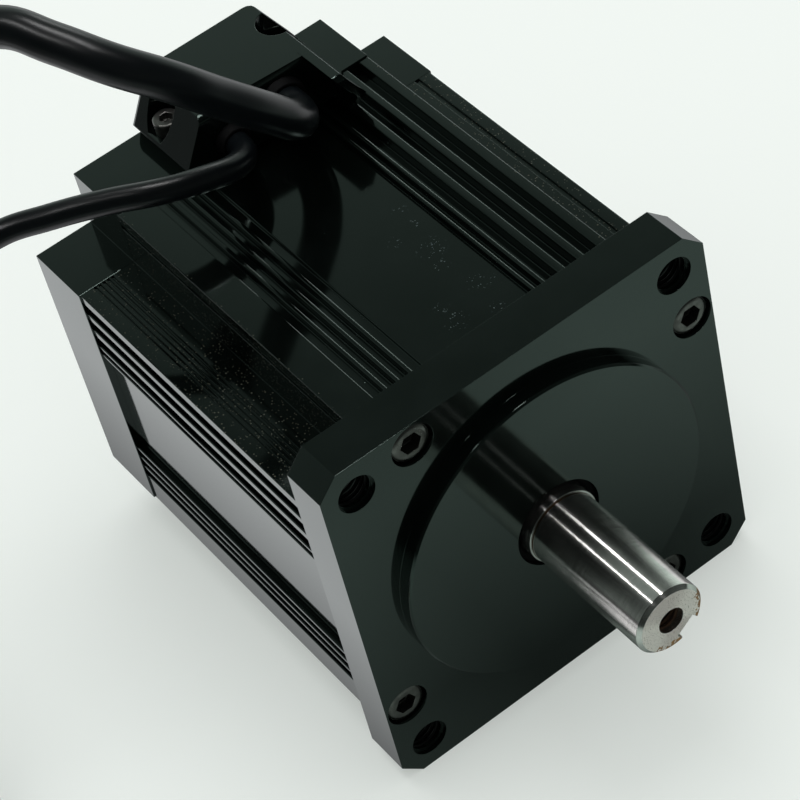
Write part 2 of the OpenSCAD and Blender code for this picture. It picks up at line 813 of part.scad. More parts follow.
module shaft_seal() {
    color("#161616")
    spun()
        polygon([
            [seat_r + seal_lip_play, seal_front + (seal_end - seal_front) * 0.3],
            [seat_r * 1.06, seal_front + (seal_end - seal_front) * 0.1], [seat_r * 1.12, seal_front],
            [seal_r - tap_play, seal_front], [seal_r - tap_play, seal_end],
            [seat_r * 1.08, seal_end], [seat_r + seal_lip_play, seal_front + (seal_end - seal_front) * 0.6]
        ]);
}

// Outer ring of a ball bearing, with its race
module outer_ring(y0, wide, r_out, pitch, ball) {
    spun()
        difference() {
            translate([pitch + ball * race_share, y0])
                square([r_out - pitch - ball * race_share, wide]);
            translate([pitch, y0 + wide / 2])
                circle(r = ball + race_gap);
        }
}

module inner_ring(y0, wide, r_in, pitch, ball) {
    spun()
        difference() {
            translate([r_in, y0])
                square([pitch - ball * race_share - r_in, wide]);
            translate([pitch, y0 + wide / 2])
                circle(r = ball + race_gap);
        }
}

module balls(y0, wide, pitch, ball) {
    for (k = [0:ball_count - 1]) {
        rotate([0, 360 * k / ball_count, 0])
            translate([pitch, y0 + wide / 2, 0])
                sphere(r = ball);
    }
}

module ball_cage(y0, wide, pitch, ball) {
    difference() {
        slab(y0 + wide / 2 - ball * 1.3, ball * 2.6)
            ring_2d(pitch + ball * 0.22, pitch - ball * 0.22);
        for (k = [0:ball_count - 1]) {
            rotate([0, 360 * k / ball_count, 0])
                translate([pitch - ball, y0 + wide / 2, 0])
                    rotate([0, 90, 0])
                        cylinder(r = ball * 1.03, h = 2 * ball);
        }
    }
}

module front_outer_ring() {
    color("#a7abae") outer_ring(front_bearing_y, front_w, front_outer_r, front_pitch_r, front_ball_r);
}

module front_inner_ring() {
    color("#a7abae") inner_ring(front_bearing_y, front_w, seat_r, front_pitch_r, front_ball_r);
}

module front_balls() {
    color("#c9cccf") balls(front_bearing_y, front_w, front_pitch_r, front_ball_r);
}

module front_cage() {
    color("#9a8a55") ball_cage(front_bearing_y, front_w, front_pitch_r, front_ball_r);
}

module rear_outer_ring() {
    color("#a7abae") outer_ring(rear_bearing_y, rear_w, rear_outer_r, rear_pitch_r, rear_ball_r);
}

module rear_inner_ring() {
    color("#a7abae") inner_ring(rear_bearing_y, rear_w, rear_seat_r, rear_pitch_r, rear_ball_r);
}

module rear_balls() {
    color("#c9cccf") balls(rear_bearing_y, rear_w, rear_pitch_r, rear_ball_r);
}

module rear_cage() {
    color("#9a8a55") ball_cage(rear_bearing_y, rear_w, rear_pitch_r, rear_ball_r);
}

module preload_washer() {
    color("#7f8386")
    slab(rear_bearing_end, washer_t)
        ring_2d(rear_outer_r - bearing_play, rear_pitch_r + rear_ball_r);
}

module teeth_2d(width, tip) {
    difference() {
        union() {
            for (k = [0:teeth - 1]) {
                rotate(360 * k / teeth)
                    translate([stator_bore_r * 0.5, -width / 2])
                        square([yoke_r - stator_bore_r * 0.45, width]);
            }
            if (tip) {
                difference() {
                    circle(r = tip_r);
                    for (k = [0:teeth - 1]) {
                        rotate(360 * (k + 0.5) / teeth)
                            translate([0, -slot_open / 2])
                                square([tip_r + cut, slot_open]);
                    }
                }
            }
        }
        circle(r = stator_bore_r);
    }
}

module stator_core() {
    color("#80868a")
    slab(stack_front, stack_len) {
        ring_2d(bore_r - stack_play, yoke_r);
        teeth_2d(tooth_w, true);
    }
}

module stator_windings() {
    slack = coil_t * 0.15;
    high = 2 * coil_end - stack_front - stack_rear;
    wide = tooth_w + 2 * (slack + coil_t);
    near = tip_r + slack;
    far = sqrt(pow(yoke_r - slack, 2) - pow(wide / 2, 2));
    color("#a4602f")
    for (k = [0:teeth - 1]) {
        rotate([0, 360 * k / teeth, 0])
            translate([0, (stack_front + stack_rear) / 2, 0])
                across(near, far - near)
                    difference() {
                        rounded_2d(high, wide, coil_t * 1.2);
                        square([stack_len + 2 * (insulator_t + slack), tooth_w + 2 * slack], center = true);
                    }
    }
}

module end_insulators() {
    color("#d8d3c4") {
        for (y0 = [stack_front - insulator_t, stack_rear]) {
            slab(y0, insulator_t) {
                ring_2d(guard_in_r + guard_t, yoke_r);
                teeth_2d(tooth_w * 0.96, false);
            }
        }
        slab(stack_front - coil_reach, coil_reach - insulator_t + eps)
            ring_2d(guard_in_r + guard_t, guard_in_r);
        slab(stack_rear + insulator_t - eps, coil_reach + eps)
            ring_2d(guard_in_r + guard_t, guard_in_r);
        for (a = post_turns) {
            slab(stack_rear + insulator_t - eps, post_reach - insulator_t + eps)
                rotate(a)
                    translate([post_ring_r, 0])
                        difference() {
                            circle(r = post_r);
                            circle(r = board_screw_r + tap_play / 2);
                        }
        }
    }
}

module sensor_board() {
    color("#1f5a34")
    slab(board_y, board_t)
        difference() {
            ring_2d(board_out_r, board_in_r);
            translate([-slot_x, window_z])
                square([2 * slot_x, board_out_r]);
            for (a = post_turns) {
                rotate(a)
                    translate([post_ring_r, 0])
                        circle(r = board_screw_r + tap_play);
            }
        }
}

module hall_sensors() {
    color("#202124")
    for (a = sensor_turns) {
        slab(rotor_rear + sensor_gap, board_y - rotor_rear - sensor_gap)
            rotate(a)
                translate([sensor_ring_r, 0])
                    square([sensor_t, sensor_w], center = true);
    }
}

module board_screws() {
    color("#8f9396")
    for (a = post_turns) {
        rotate([0, -a, 0])
            translate([post_ring_r, 0, 0]) {
                bar(guard_end + tap_play, board_y + board_t - guard_end, board_screw_r);
                bar(board_y + board_t, board_t * 0.8, board_head_r);
            }
    }
}

// Wires that run back from the stator and up into the terminal block
module wire_run(x, y0, y1, level, r) {
    translate([x, 0, level])
        bar(y0, y1 - y0, r);
    translate([x, y1, level])
        sphere(r = r);
    translate([x, y1, level])
        cylinder(r = r, h = wire_top - level);
}

module phase_leads() {
    color("#b8402c")
    for (k = [-1, 0, 1]) {
        wire_run(k * wire_step, coil_end, wire_rise_y, wire_level, wire_r);
    }
}

module sensor_wires() {
    color("#3a5f9e")
    for (k = [-2:2]) {
        wire_run(k * thin_wire_step, board_y + board_t, thin_wire_rise_y, thin_wire_level, thin_wire_r);
    }
}

module power_lead() {
    color("#131414") swept_lead(power_route, power_r, 10);
}

module sensor_lead() {
    color("#131414") swept_lead(sensor_route, sensor_r, 10);
}

// A strap round both leads where they lie side by side
module lead_tie() {
    y = block_front + tie_y_share * flange_w;
    left = power_floor_shares[1][0] * flange_w - power_r;
    right = sensor_floor_shares[1][0] * flange_w + sensor_r;
    high = 2 * power_r;
    mid = [(left + right) / 2, floor_z + tie_t + high / 2];
    wide = right - left;
    color("#1d1d1d") {
        slab(y - tie_w / 2, tie_w)
            translate(mid)
                difference() {
                    rounded_2d(wide + 2 * tie_t, high + 2 * tie_t, power_r * 0.6);
                    rounded_2d(wide, high, power_r * 0.5);
                }
        translate([mid[0] - tie_w / 2, y - tie_w * 0.6, floor_z + high + 2 * tie_t - eps])
            cube([tie_w, tie_w * 1.2, tie_t * 2]);
    }
}

// A connector at a lead's end, with its strain relief, pointing along the lead's last stretch
module connector(route, lead_r, wide, deep, plug_len, ways) {
    d = last(route) - route[len(route) - 2];
    pitch = wide / (ways + 0.6);
    low = -lead_r - tie_t;
    translate(last(route))
        rotate([0, 0, atan2(d[1], d[0])])
            difference() {
                union() {
                    rotate([0, 90, 0])
                        cylinder(r1 = lead_r * 1.15, r2 = lead_r * 1.5, h = relief_len + eps);
                    translate([relief_len, -wide / 2, low])
                        cube([plug_len, wide, deep]);
                    translate([relief_len + plug_len * 0.25, -wide / 6, low + deep - eps])
                        cube([plug_len * 0.55, wide / 3, deep * 0.12]);
                    translate([relief_len, -wide / 2 - wide * 0.04, low])
                        cube([plug_len * 0.2, wide * 1.08, deep * 0.9]);
                }
                for (k = [0:ways - 1]) {
                    translate([relief_len + plug_len * 0.45, (k - (ways - 1) / 2) * pitch - pitch * 0.36,
                            low + deep * 0.22])
                        cube([plug_len, pitch * 0.72, deep * 0.56]);
                }
            }
}

module power_connector() {
    color("#17181a") connector(power_route, power_r, power_plug_w, power_r * 3.2, power_plug_len, 3);
}

module sensor_connector() {
    color("#d9d6cc") connector(sensor_route, sensor_r, sensor_plug_w, sensor_r * 2.7, sensor_plug_len, 5);
}

front_flange();
housing();
rear_cap();
flange_screws();
rear_screws();
terminal_block();
block_screws();
power_grommet();
sensor_grommet();
shaft();
rotor_core();
rotor_magnets();
retaining_rings();
shaft_seal();
front_outer_ring();
front_inner_ring();
front_balls();
front_cage();
rear_outer_ring();
rear_inner_ring();
rear_balls();
rear_cage();
preload_washer();
stator_core();
stator_windings();
end_insulators();
sensor_board();
hall_sensors();
board_screws();
phase_leads();
sensor_wires();
power_lead();
sensor_lead();
lead_tie();
power_connector();
sensor_connector();
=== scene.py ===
"""A brushless dc motor with its finishes, its two leads, a pale table and studio light."""

import logging
import math
from collections.abc import Callable
from dataclasses import dataclass
from enum import Enum
from typing import NamedTuple

import bmesh
import bpy
from mathutils import Matrix, Quaternion, Vector


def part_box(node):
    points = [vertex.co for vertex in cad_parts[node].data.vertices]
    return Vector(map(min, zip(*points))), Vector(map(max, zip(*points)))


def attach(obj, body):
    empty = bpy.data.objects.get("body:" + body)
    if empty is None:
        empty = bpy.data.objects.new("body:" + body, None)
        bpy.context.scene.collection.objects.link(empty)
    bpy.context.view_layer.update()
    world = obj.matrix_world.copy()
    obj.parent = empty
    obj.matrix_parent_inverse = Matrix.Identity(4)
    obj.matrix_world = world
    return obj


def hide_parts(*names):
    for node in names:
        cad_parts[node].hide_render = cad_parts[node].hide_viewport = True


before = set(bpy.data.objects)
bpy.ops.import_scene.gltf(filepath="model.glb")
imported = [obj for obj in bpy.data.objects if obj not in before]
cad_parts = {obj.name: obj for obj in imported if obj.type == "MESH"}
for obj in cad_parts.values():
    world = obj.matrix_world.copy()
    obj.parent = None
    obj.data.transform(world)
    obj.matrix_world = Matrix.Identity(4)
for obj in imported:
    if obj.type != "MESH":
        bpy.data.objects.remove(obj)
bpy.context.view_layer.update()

MM = 0.001
# Corners nearer than this many metres are one, faces that turn by less are one, and edges that
# turn by more are sharp.
SAME_SPOT = 1e-6
SAME_FACE = math.radians(0.4)
SHARP = math.radians(32)
LOG = logging.getLogger("motor")
Mesh = bmesh.types.BMesh
Piece = bpy.types.Object
Socket = bpy.types.NodeSocket
Tree = bpy.types.NodeTree
Point = tuple[float, float, float]
Rgba = tuple[float, float, float, float]
Rounds = tuple[tuple[float, Callable[[Vector, Vector], bool]], ...]


class Body(Enum):
    """The bodies that the new pieces ride on."""

    MOTOR = "motor_body"
    ROTOR = "rotor"


class Glow(Enum):
    """What a lamp is there for."""

    LIGHTING = "lights surfaces"
    MIRRORED = "shows in mirrors"


def tint(hex_code: str) -> Rgba:
    """Turn an sRGB hex colour to linear values.

    Args:
        hex_code: The colour as "#rrggbb".

    Returns:
        Linear red, green, blue and an alpha of one.
    """
    channels = [int(hex_code[i : i + 2], 16) / 255 for i in (1, 3, 5)]
    linear = [c / 12.92 if c <= 0.04045 else ((c + 0.055) / 1.055) ** 2.4 for c in channels]
    return (*linear, 1.0)


def feed(node: bpy.types.Node, inputs: dict[str | int, object]) -> None:
    """Set or link inputs of a node.

    Args:
        node: The node.
        inputs: A value or a socket for each input, by name or number.
    """
    for key, value in inputs.items():
        if isinstance(value, Socket):
            node.id_data.links.new(value, node.inputs[key])
        else:
            node.inputs[key].default_value = value


def add(
    tree: Tree, kind: str, inputs: dict[str | int, object] | None = None, **settings: object
) -> bpy.types.NodeOutputs:
    """Add one node with its settings and links.

    Args:
        tree: The node tree that the node goes into.
        kind: The node's type, without "ShaderNode".
        inputs: A value or a socket for each input, by name or number.
        settings: The node's own properties.

    Returns:
        The new node's outputs.
    """
    node = tree.nodes.new("ShaderNode" + kind)
    for name, value in settings.items():
        setattr(node, name, value)
    feed(node, inputs or {})
    return node.outputs


class Skin(NamedTuple):
    """A surface while its finish is drawn.

    Attributes:
        tree: The material's node tree.
        mm: Place on the motor in millimetres.
        colour: Colour so far.
        rough: Roughness so far.
        height: Height so far.
    """

    tree: Tree
    mm: Socket
    colour: Socket
    rough: Socket
    height: Socket

    def stained(self, where: Socket, paint: Socket | Rgba, rough: float) -> "Skin":
        """Lay a stain on the surface.

        Args:
            where: One on the stain, zero off it.
            paint: The stain's colour.
            rough: The stain's roughness.

        Returns:
            The stained surface.
        """
        dye = {0: where, 6: self.colour, 7: paint}
        colour = add(self.tree, "Mix", dye, data_type="RGBA")[2]
        dulled = add(self.tree, "Mix", {0: where, 2: self.rough, 3: rough}, data_type="FLOAT")[0]
        return self._replace(colour=colour, rough=dulled)


class Grains(NamedTuple):
    """Loose round grains that lie on a surface. Sizes are in millimetres.

    Attributes:
        spacing: Mean distance between grains.
        size: Largest radius of a grain.
        share: Share of the places that hold a grain.
        colour: Their colour.
    """

    spacing: float
    size: float
    share: float
    colour: str

    def scattered(self, tree: Tree, mm: Socket) -> Socket:
        """Scatter the grains.

        Args:
            tree: The material's node tree.
            mm: Place on the motor in millimetres.

        Returns:
            One on a grain, zero elsewhere.
        """
        cells = add(tree, "TexVoronoi", {"Vector": mm, "Scale": 1 / self.spacing}, feature="F1")
        lot = add(tree, "SeparateColor", {0: cells["Color"]})
        largest = {0: lot[1], 1: self.size / self.spacing}
        reach = add(tree, "Math", largest, operation="MULTIPLY")[0]
        near = add(tree, "Math", {0: cells["Distance"], 1: reach}, operation="LESS_THAN")[0]
        some = add(tree, "Math", {0: lot[0], 1: self.share}, operation="LESS_THAN")[0]
        return add(tree, "Math", {0: near, 1: some}, operation="MULTIPLY")[0]


@dataclass(frozen=True)
class Finish:
    """A finish drawn from what the real surface is. Sizes are in millimetres.

    Attributes:
        name: The material's name.
        colour: Main colour.
        second: Colour of its patches.
        roughness: Mean roughness.
        metallic: One for a bare metal.
        ior: Index of refraction, left at the default for a metal.
        patch: Size of the colour patches.
        patch_share: How far the patches go towards the second colour.
        grain: Size of the surface grain.
        grain_height: Height of the grain.
        grain_pull: How far the grain is drawn out along X, Y and Z.
        rough_swing: Change of roughness from patch to patch.
        coat: Weight of a clear coat.
        coat_roughness: Roughness of that coat.
        anisotropy: Stretch of the highlight across the working marks.
        sheen_tint: Colour of what it mirrors when it is looked at squarely.
    """

    name: str
    colour: str
    second: str
    roughness: float
    metallic: float = 0.0
    ior: float | None = None
    patch: float = 9.0
    patch_share: float = 0.6
    grain: float = 0.35
    grain_height: float = 0.003
    grain_pull: Point = (1.0, 1.0, 1.0)
    rough_swing: float = 0.06
    coat: float = 0.0
    coat_roughness: float = 0.03
    anisotropy: float = 0.0
    sheen_tint: str = "#ffffff"

    def build(self) -> bpy.types.Material:
        """Draw the finish.

        Returns:
            The material, made once and then used again.
        """
        ready = bpy.data.materials.get(self.name)
        if ready:
            return ready
        material = bpy.data.materials.new(self.name)
        material.use_nodes = True
        material.diffuse_color = tint(self.colour)
        tree = material.node_tree
        shader = tree.nodes["Principled BSDF"]
        fixed = {
            "Metallic": self.metallic,
            "Specular Tint": tint(self.sheen_tint),
            "Coat Weight": self.coat,
            "Coat Roughness": self.coat_roughness,
            "Anisotropic": self.anisotropy,
            "Anisotropic Rotation": 0.25 if self.anisotropy else 0.0,
        }
        feed(shader, fixed | ({"IOR": self.ior} if self.ior else {}))
        place = add(tree, "TexCoord")["Object"]
        mm = add(tree, "VectorMath", {0: place, 1: (1 / MM,) * 3}, operation="MULTIPLY")[0]
        noise = {"Vector": mm, "Scale": 1 / self.patch, "Detail": 3.0, "Roughness": 0.55}
        patches = add(tree, "TexNoise", noise)["Fac"]
        ramp = {"Value": patches, "From Min": 0.35, "From Max": 0.65, "To Max": self.patch_share}
        worn = add(tree, "MapRange", ramp)[0]
        shades = {0: worn, 6: tint(self.colour), 7: tint(self.second)}
        colour = add(tree, "Mix", shades, data_type="RGBA")[2]
        low, high = max(0.02, self.roughness - self.rough_swing), self.roughness + self.rough_swing
        ramp = {"Value": patches, "From Min": 0.3, "From Max": 0.7, "To Min": low, "To Max": high}
        rough = add(tree, "MapRange", ramp)[0]
        fineness = tuple(1 / (self.grain * pull) for pull in self.grain_pull)
        pulled = add(tree, "VectorMath", {0: mm, 1: fineness}, operation="MULTIPLY")[0]
        height = add(tree, "TexNoise", {"Vector": pulled, "Scale": 1.0, "Detail": 2.0})["Fac"]
        skin = self.detail(Skin(tree, mm, colour, rough, height))
        raised = {"Height": skin.height, "Distance": self.grain_height * MM, "Strength": 1.0}
        bump = add(tree, "Bump", raised)[0]
        feed(shader, {"Base Color": skin.colour, "Roughness": skin.rough, "Normal": bump})
        if self.anisotropy:
            around = add(tree, "Tangent", direction_type="RADIAL", axis="Y")[0]
            feed(shader, {"Tangent": around})
        return material

    def detail(self, skin: Skin) -> Skin:
        """Leave the plain finish as it is."""
        return skin


@dataclass(frozen=True)
class Anodised(Finish):
    """Dyed anodised aluminium with shop dust, and what is left of the glue of a sheet peeled off.

    Attributes:
        dust: Pale dust, all over.
        dirt: Brown dirt in the corner notches.
        glue: Crumbs of old glue.
        grime: Roughness of all three.
        notch: Distance from the axis, across and up, beyond which the dirt lies.
        notch_ends: Where it starts and ends along the axis.
        glue_level: Height of the band that the glue lies on.
        glue_spots: Places of its spots across and along the motor, and their radii.
        glue_core: Share of a spot's radius that is full of crumbs.
    """

    dust: Grains = Grains(7.0, 0.2, 0.25, "#5d6b65")
    dirt: Grains = Grains(0.7, 0.22, 0.8, "#30291c")
    glue: Grains = Grains(0.6, 0.27, 0.6, "#1e262d")
    grime: float = 0.7
    notch: float = 37.2
    notch_ends: tuple[float, float] = (12.8, 107.8)
    glue_level: float = 52.5
    glue_spots: tuple[Point, ...] = (
        (11.2, 58.6, 2.4), (10.9, 52.5, 2.0), (9.0, 43.1, 4.4), (7.2, 36.8, 2.6), (9.9, 26.2, 3.4),
        (12.0, 25.4, 2.4), (-1.5, 20.1, 3.8), (-1.1, 25.7, 2.2), (8.1, 16.4, 2.2), (3.8, 51.1, 2.4),
    )
    glue_core: float = 0.3

    def detail(self, skin: Skin) -> Skin:
        """Add the dust, the dirt and the faint spots of glue.

        Args:
            skin: The clean surface.

        Returns:
            The surface with its grime.
        """
        tree, mm = skin.tree, skin.mm
        apart = add(tree, "SeparateXYZ", {0: mm})
        sides = [add(tree, "Math", {0: apart[i]}, operation="ABSOLUTE")[0] for i in (0, 2)]
        inner = add(tree, "Math", {0: sides[0], 1: sides[1]}, operation="MINIMUM")[0]
        notched = add(tree, "Math", {0: inner, 1: self.notch}, operation="GREATER_THAN")[0]
        for end, kind in zip(self.notch_ends, ("GREATER_THAN", "LESS_THAN")):
            beyond = add(tree, "Math", {0: apart[1], 1: end}, operation=kind)[0]
            notched = add(tree, "Math", {0: notched, 1: beyond}, operation="MULTIPLY")[0]
        glued: Socket | float = 0.0
        for x, y, reach in self.glue_spots:
            middle = {0: mm, 1: (x, y, self.glue_level)}
            away = add(tree, "VectorMath", middle, operation="DISTANCE")["Value"]
            fade = {"Value": away, "From Min": reach, "From Max": reach * self.glue_core}
            spot = add(tree, "MapRange", fade)[0]
            glued = add(tree, "Math", {0: glued, 1: spot}, operation="MAXIMUM")[0]
        for grains, where in ((self.dust, 1.0), (self.dirt, notched), (self.glue, glued)):
            kept = {0: grains.scattered(tree, mm), 1: where}
            lying = add(tree, "Math", kept, operation="MULTIPLY")[0]
            skin = skin.stained(lying, tint(grains.colour), self.grime)
        return skin


@dataclass(frozen=True)
class GroundSteel(Finish):
    """Ground shaft steel, with a sawn grey end face and rust where the oil has left it.

    Attributes:
        end: Place of the shaft's end face along the axis.
        shoulder: Place of the collar's front face along the axis.
        keyway: Direction of the keyway across the shaft.
        rim: Radius near which the end rusts.
        rust_along: How far the rust reaches along the shaft from its end.
        rust_side: Distance from the axis towards the keyway at which the rust starts.
        ragged: How far the rust's border wanders.
        blotches: Blotches of rust in a millimetre.
        pits: Pits of the end face in a millimetre.
        rust: Dark and pale colour of the rust.
        face: Pale and dark colour of the end face.
        seam: Colour of the line in front of the collar.
        seam_gap: Distance of the line's middle from the collar.
        seam_half: Half the line's width.
        dirty: Roughness of the line and of the end face.
        rusty: Roughness of the rust.
        sawn: How far the end face is dull and grey.
        polished: Roughness of the rings that are worn smooth.
        worked: Roughness of the rings between them.
    """

    end: float = -45.0
    shoulder: float = -5.8
    keyway: Point = (0.574, 0.0, -0.819)
    rim: float = 7.9
    rust_along: float = 1.6
    rust_side: float = 2.2
    ragged: float = 1.6
    blotches: float = 1.3
    pits: float = 3.0
    rust: tuple[str, str] = ("#4d3420", "#86683f")
    face: tuple[str, str] = ("#f0ebe4", "#8e8477")
    seam: str = "#4a3826"
    seam_gap: float = 0.25
    seam_half: float = 0.22
    dirty: float = 0.6
    rusty: float = 0.85
    sawn: float = 0.35
    polished: float = 0.15
    worked: float = 0.24

    def detail(self, skin: Skin) -> Skin:
        """Add the speckled end face, the rust round the keyway's mouth and the line by the collar.

        Args:
            skin: The clean surface.

        Returns:
            The used surface.
        """
        tree, mm = skin.tree, skin.mm
        along = add(tree, "SeparateXYZ", {0: mm})[1]
        ramp = {"From Min": 0.44, "From Max": 0.66, "To Min": self.polished, "To Max": self.worked}
        skin = skin._replace(rough=add(tree, "MapRange", {"Value": skin.height, **ramp})[0])
        lip = add(tree, "VectorMath", {0: mm, 1: self.keyway}, operation="DOT_PRODUCT")["Value"]
        flat = add(tree, "VectorMath", {0: mm, 1: (1, 0, 1)}, operation="MULTIPLY")[0]
        radius = add(tree, "VectorMath", {0: flat}, operation="LENGTH")["Value"]
        blotch = add(tree, "TexNoise", {"Vector": mm, "Scale": self.blotches, "Detail": 5.0})["Fac"]
        pit = add(tree, "TexNoise", {"Vector": mm, "Scale": self.pits, "Detail": 3.0})["Fac"]
        ramp = {"From Min": 0.3, "From Max": 0.7, "To Min": -self.ragged, "To Max": self.ragged}
        swell = add(tree, "MapRange", {"Value": blotch, **ramp})[0]
        reach = add(tree, "Math", {0: radius, 1: swell}, operation="ADD")[0]
        rusted: Socket | float = 1.0
        for place, limit, kind in (
            (along, self.end + self.rust_along, "LESS_THAN"),
            (lip, self.rust_side, "GREATER_THAN"),
            (reach, self.rim, "GREATER_THAN"),
        ):
            inside = add(tree, "Math", {0: place, 1: limit}, operation=kind)[0]
            rusted = add(tree, "Math", {0: rusted, 1: inside}, operation="MULTIPLY")[0]
        at_end = add(tree, "Math", {0: along, 1: self.end + 0.05}, operation="LESS_THAN")[0]
        by_collar = {0: along, 1: self.shoulder - self.seam_gap, 2: self.seam_half}
        line = add(tree, "Math", by_collar, operation="COMPARE")[0]
        for where, spots, low, high, shades, rough in (
            (at_end, pit, 0.55, 0.68, self.face, self.dirty),
            (rusted, blotch, 0.4, 0.62, self.rust, self.rusty),
        ):
            share = add(tree, "MapRange", {"Value": spots, "From Min": low, "From Max": high})[0]
            both = {0: share, 6: tint(shades[0]), 7: tint(shades[1])}
            skin = skin.stained(where, add(tree, "Mix", both, data_type="RGBA")[2], rough)
        dull = add(tree, "Math", {0: at_end, 1: self.sawn}, operation="MULTIPLY")[0]
        dull = add(tree, "Math", {0: dull, 1: rusted}, operation="MAXIMUM")[0]
        bare = add(tree, "Math", {0: 1.0, 1: dull}, operation="SUBTRACT")[0]
        feed(tree.nodes["Principled BSDF"], {"Metallic": bare})
        return skin.stained(line, tint(self.seam), self.dirty)


@dataclass(frozen=True)
class Laminated(Finish):
    """Stamped electrical sheets stacked along the axis.

    Attributes:
        sheet: Thickness of a sheet, drawn three times as thick as it is so that it shows.
        joint: Colour of the joints between the sheets.
    """

    sheet: float = 1.5
    joint: str = "#26282a"

    def detail(self, skin: Skin) -> Skin:
        """Add the joints between the sheets.

        Args:
            skin: The plain surface.

        Returns:
            The surface with its joints.
        """
        # A wave's bands lie 2 pi / 20 apart at scale one.
        wave = {"Vector": skin.mm, "Scale": math.pi / 10 / self.sheet, "Distortion": 0.2}
        bands = add(skin.tree, "TexWave", wave, bands_direction="Y")["Fac"]
        sheets = add(skin.tree, "MapRange", {"Value": bands, "From Min": 0.12, "From Max": 0.3})[0]
        shades = {0: sheets, 6: tint(self.joint), 7: skin.colour}
        colour = add(skin.tree, "Mix", shades, data_type="RGBA")[2]
        return skin._replace(colour=colour, height=sheets)


# Dyed anodised aluminium, milled and blasted: the dye is near black, and the glaze of oxide over
# it mirrors the room in dim green from above and the table in plain grey at a slant.
ANODISED = Anodised(
    "black_anodised_aluminium", "#030504", "#060908", 0.085, ior=1.6, patch=14.0, grain=0.3,
    grain_height=0.0005, rough_swing=0.02, sheen_tint="#e4fff5",
)
# Cut thread, dyed with the rest and oily: black, with light only where a crest turns to it.
TAPPED = Finish(
    "tapped_dyed_aluminium", "#030404", "#050606", 0.4, ior=1.35, patch=2.0, grain=0.2,
    grain_height=0.004,
)
# Blackened screw steel: a dark warm satin that catches a ring of light on its turned rims.
BLACKENED = Finish(
    "blackened_screw_steel", "#706f6c", "#4b4a48", 0.3, metallic=1.0, patch=2.0, grain=0.2,
    grain_height=0.003,
)
# Ground shaft steel: fine rings round the shaft that keep each lamp a thin line along it.
GROUND = GroundSteel(
    "ground_shaft_steel", "#e2dfdb", "#c2c0be", 0.3, metallic=1.0, patch=5.0, grain=0.1,
    grain_height=0.00002, grain_pull=(90.0, 1.0, 90.0), anisotropy=1.0, rough_swing=0.02,
)
# Rusted thread in the shaft's end: dark brown and dull, with light only on the crests.
RUSTED = Finish(
    "rusted_thread_steel", "#4b3420", "#2a1c12", 0.6, metallic=0.3, patch=1.2, grain=0.25,
    grain_height=0.02,
)
# Bearing steel, ground and honed: a clear mirror with faint rings.
HONED = Finish(
    "honed_bearing_steel", "#c3c4c6", "#a7a9ac", 0.12, metallic=1.0, grain=0.3,
    grain_height=0.0006, grain_pull=(8.0, 1.0, 8.0), rough_swing=0.03,
)
# Machined brass: warm yellow, a little dull from oil.
BRASS = Finish("machined_brass", "#b08d4a", "#8d6e38", 0.3, metallic=1.0, patch=3.0)
# Spring steel, tempered: a grey sheen with a brown tinge.
SPRING = Finish("tempered_spring_steel", "#7d7c7a", "#5c564f", 0.32, metallic=1.0, patch=4.0)
# Nickel on sintered magnets: pale, slightly pebbled and warm.
NICKEL = Finish(
    "nickel_plated_magnet", "#a9a69d", "#8b8981", 0.28, metallic=1.0, grain=0.6, grain_height=0.006
)
# Stamped silicon steel sheets: dull grey metal, with a dark line at each joint.
SHEETS = Laminated("stamped_steel_sheets", "#8b8f92", "#6d7174", 0.42, metallic=1.0, patch=6.0)
# Enamelled copper wire: a warm brown metal under a glossy amber varnish.
ENAMELLED = Finish(
    "enamelled_copper_wire", "#a75a2c", "#8a4420", 0.34, metallic=1.0, patch=4.0, coat=0.8,
    coat_roughness=0.12,
)
# Red silicone wire covering, extruded: an even, slightly waxy colour.
RED_WIRE = Finish("extruded_silicone_red", "#9c2a1e", "#86241a", 0.38, ior=1.43, grain_height=0.004)
# Blue silicone wire covering, extruded: the same waxy skin in a cool, deeper colour.
BLUE_WIRE = Finish(
    "extruded_silicone_blue", "#2a4c8c", "#22407a", 0.38, ior=1.43, grain_height=0.004
)
# Glass-filled polyester, moulded: a warm off-white with a dull skin.
POLYESTER = Finish(
    "moulded_glass_filled_polyester", "#d5cdb8", "#c4bba4", 0.5, ior=1.55, grain=0.4,
    grain_height=0.01,
)
# Solder mask on glass board: a clear green lacquer over a faint weave.
BOARD = Finish(
    "green_solder_mask", "#1d5a36", "#17492c", 0.28, ior=1.55, patch=3.0, grain=0.5,
    grain_height=0.006, coat=0.4, coat_roughness=0.1,
)
# Moulded epoxy of small chips: matt black with a fine grit.
EPOXY = Finish(
    "moulded_epoxy_chip", "#1a1a1c", "#222225", 0.55, ior=1.55, grain=0.2, grain_height=0.01
)
# Tinned brass contacts: soft pale metal.
TINNED = Finish("tinned_brass_contact", "#c8c5bc", "#aaa69a", 0.25, metallic=1.0, patch=1.5)
# Nitrile rubber, moulded: a soft black with painted shade in its colour. It is drawn darker than
# the rubber's own black so that the grommets under the terminal block's roof look as dark as the
# shade there, and the shaft seal shares that darkness. Only its lip shows light.
RUBBER_DARKENED_AS_SHADE = Finish(
    "nitrile_rubber_darkened_as_shade", "#040405", "#070708", 0.7, ior=1.2, grain=0.5, grain_height=0.006
)
# PVC jacket, extruded: a deep black with a blue cast and long soft streaks of light.
JACKET = Finish(
    "extruded_pvc_jacket", "#05080a", "#080c0f", 0.3, ior=1.38, patch=20.0, grain=0.9,
    grain_height=0.005, rough_swing=0.03,
)
# Glass-filled nylon, moulded: a fine orange-peel skin with a satin sheen.
NYLON = Finish(
    "moulded_black_nylon", "#17181a", "#1f2022", 0.42, ior=1.53, grain=0.5, grain_height=0.008
)
# Natural nylon, moulded: the same skin in a warm milky white.
WHITE_NYLON = Finish(
    "moulded_white_nylon", "#d8d4c6", "#c9c3b2", 0.4, ior=1.53, grain=0.5, grain_height=0.008
)


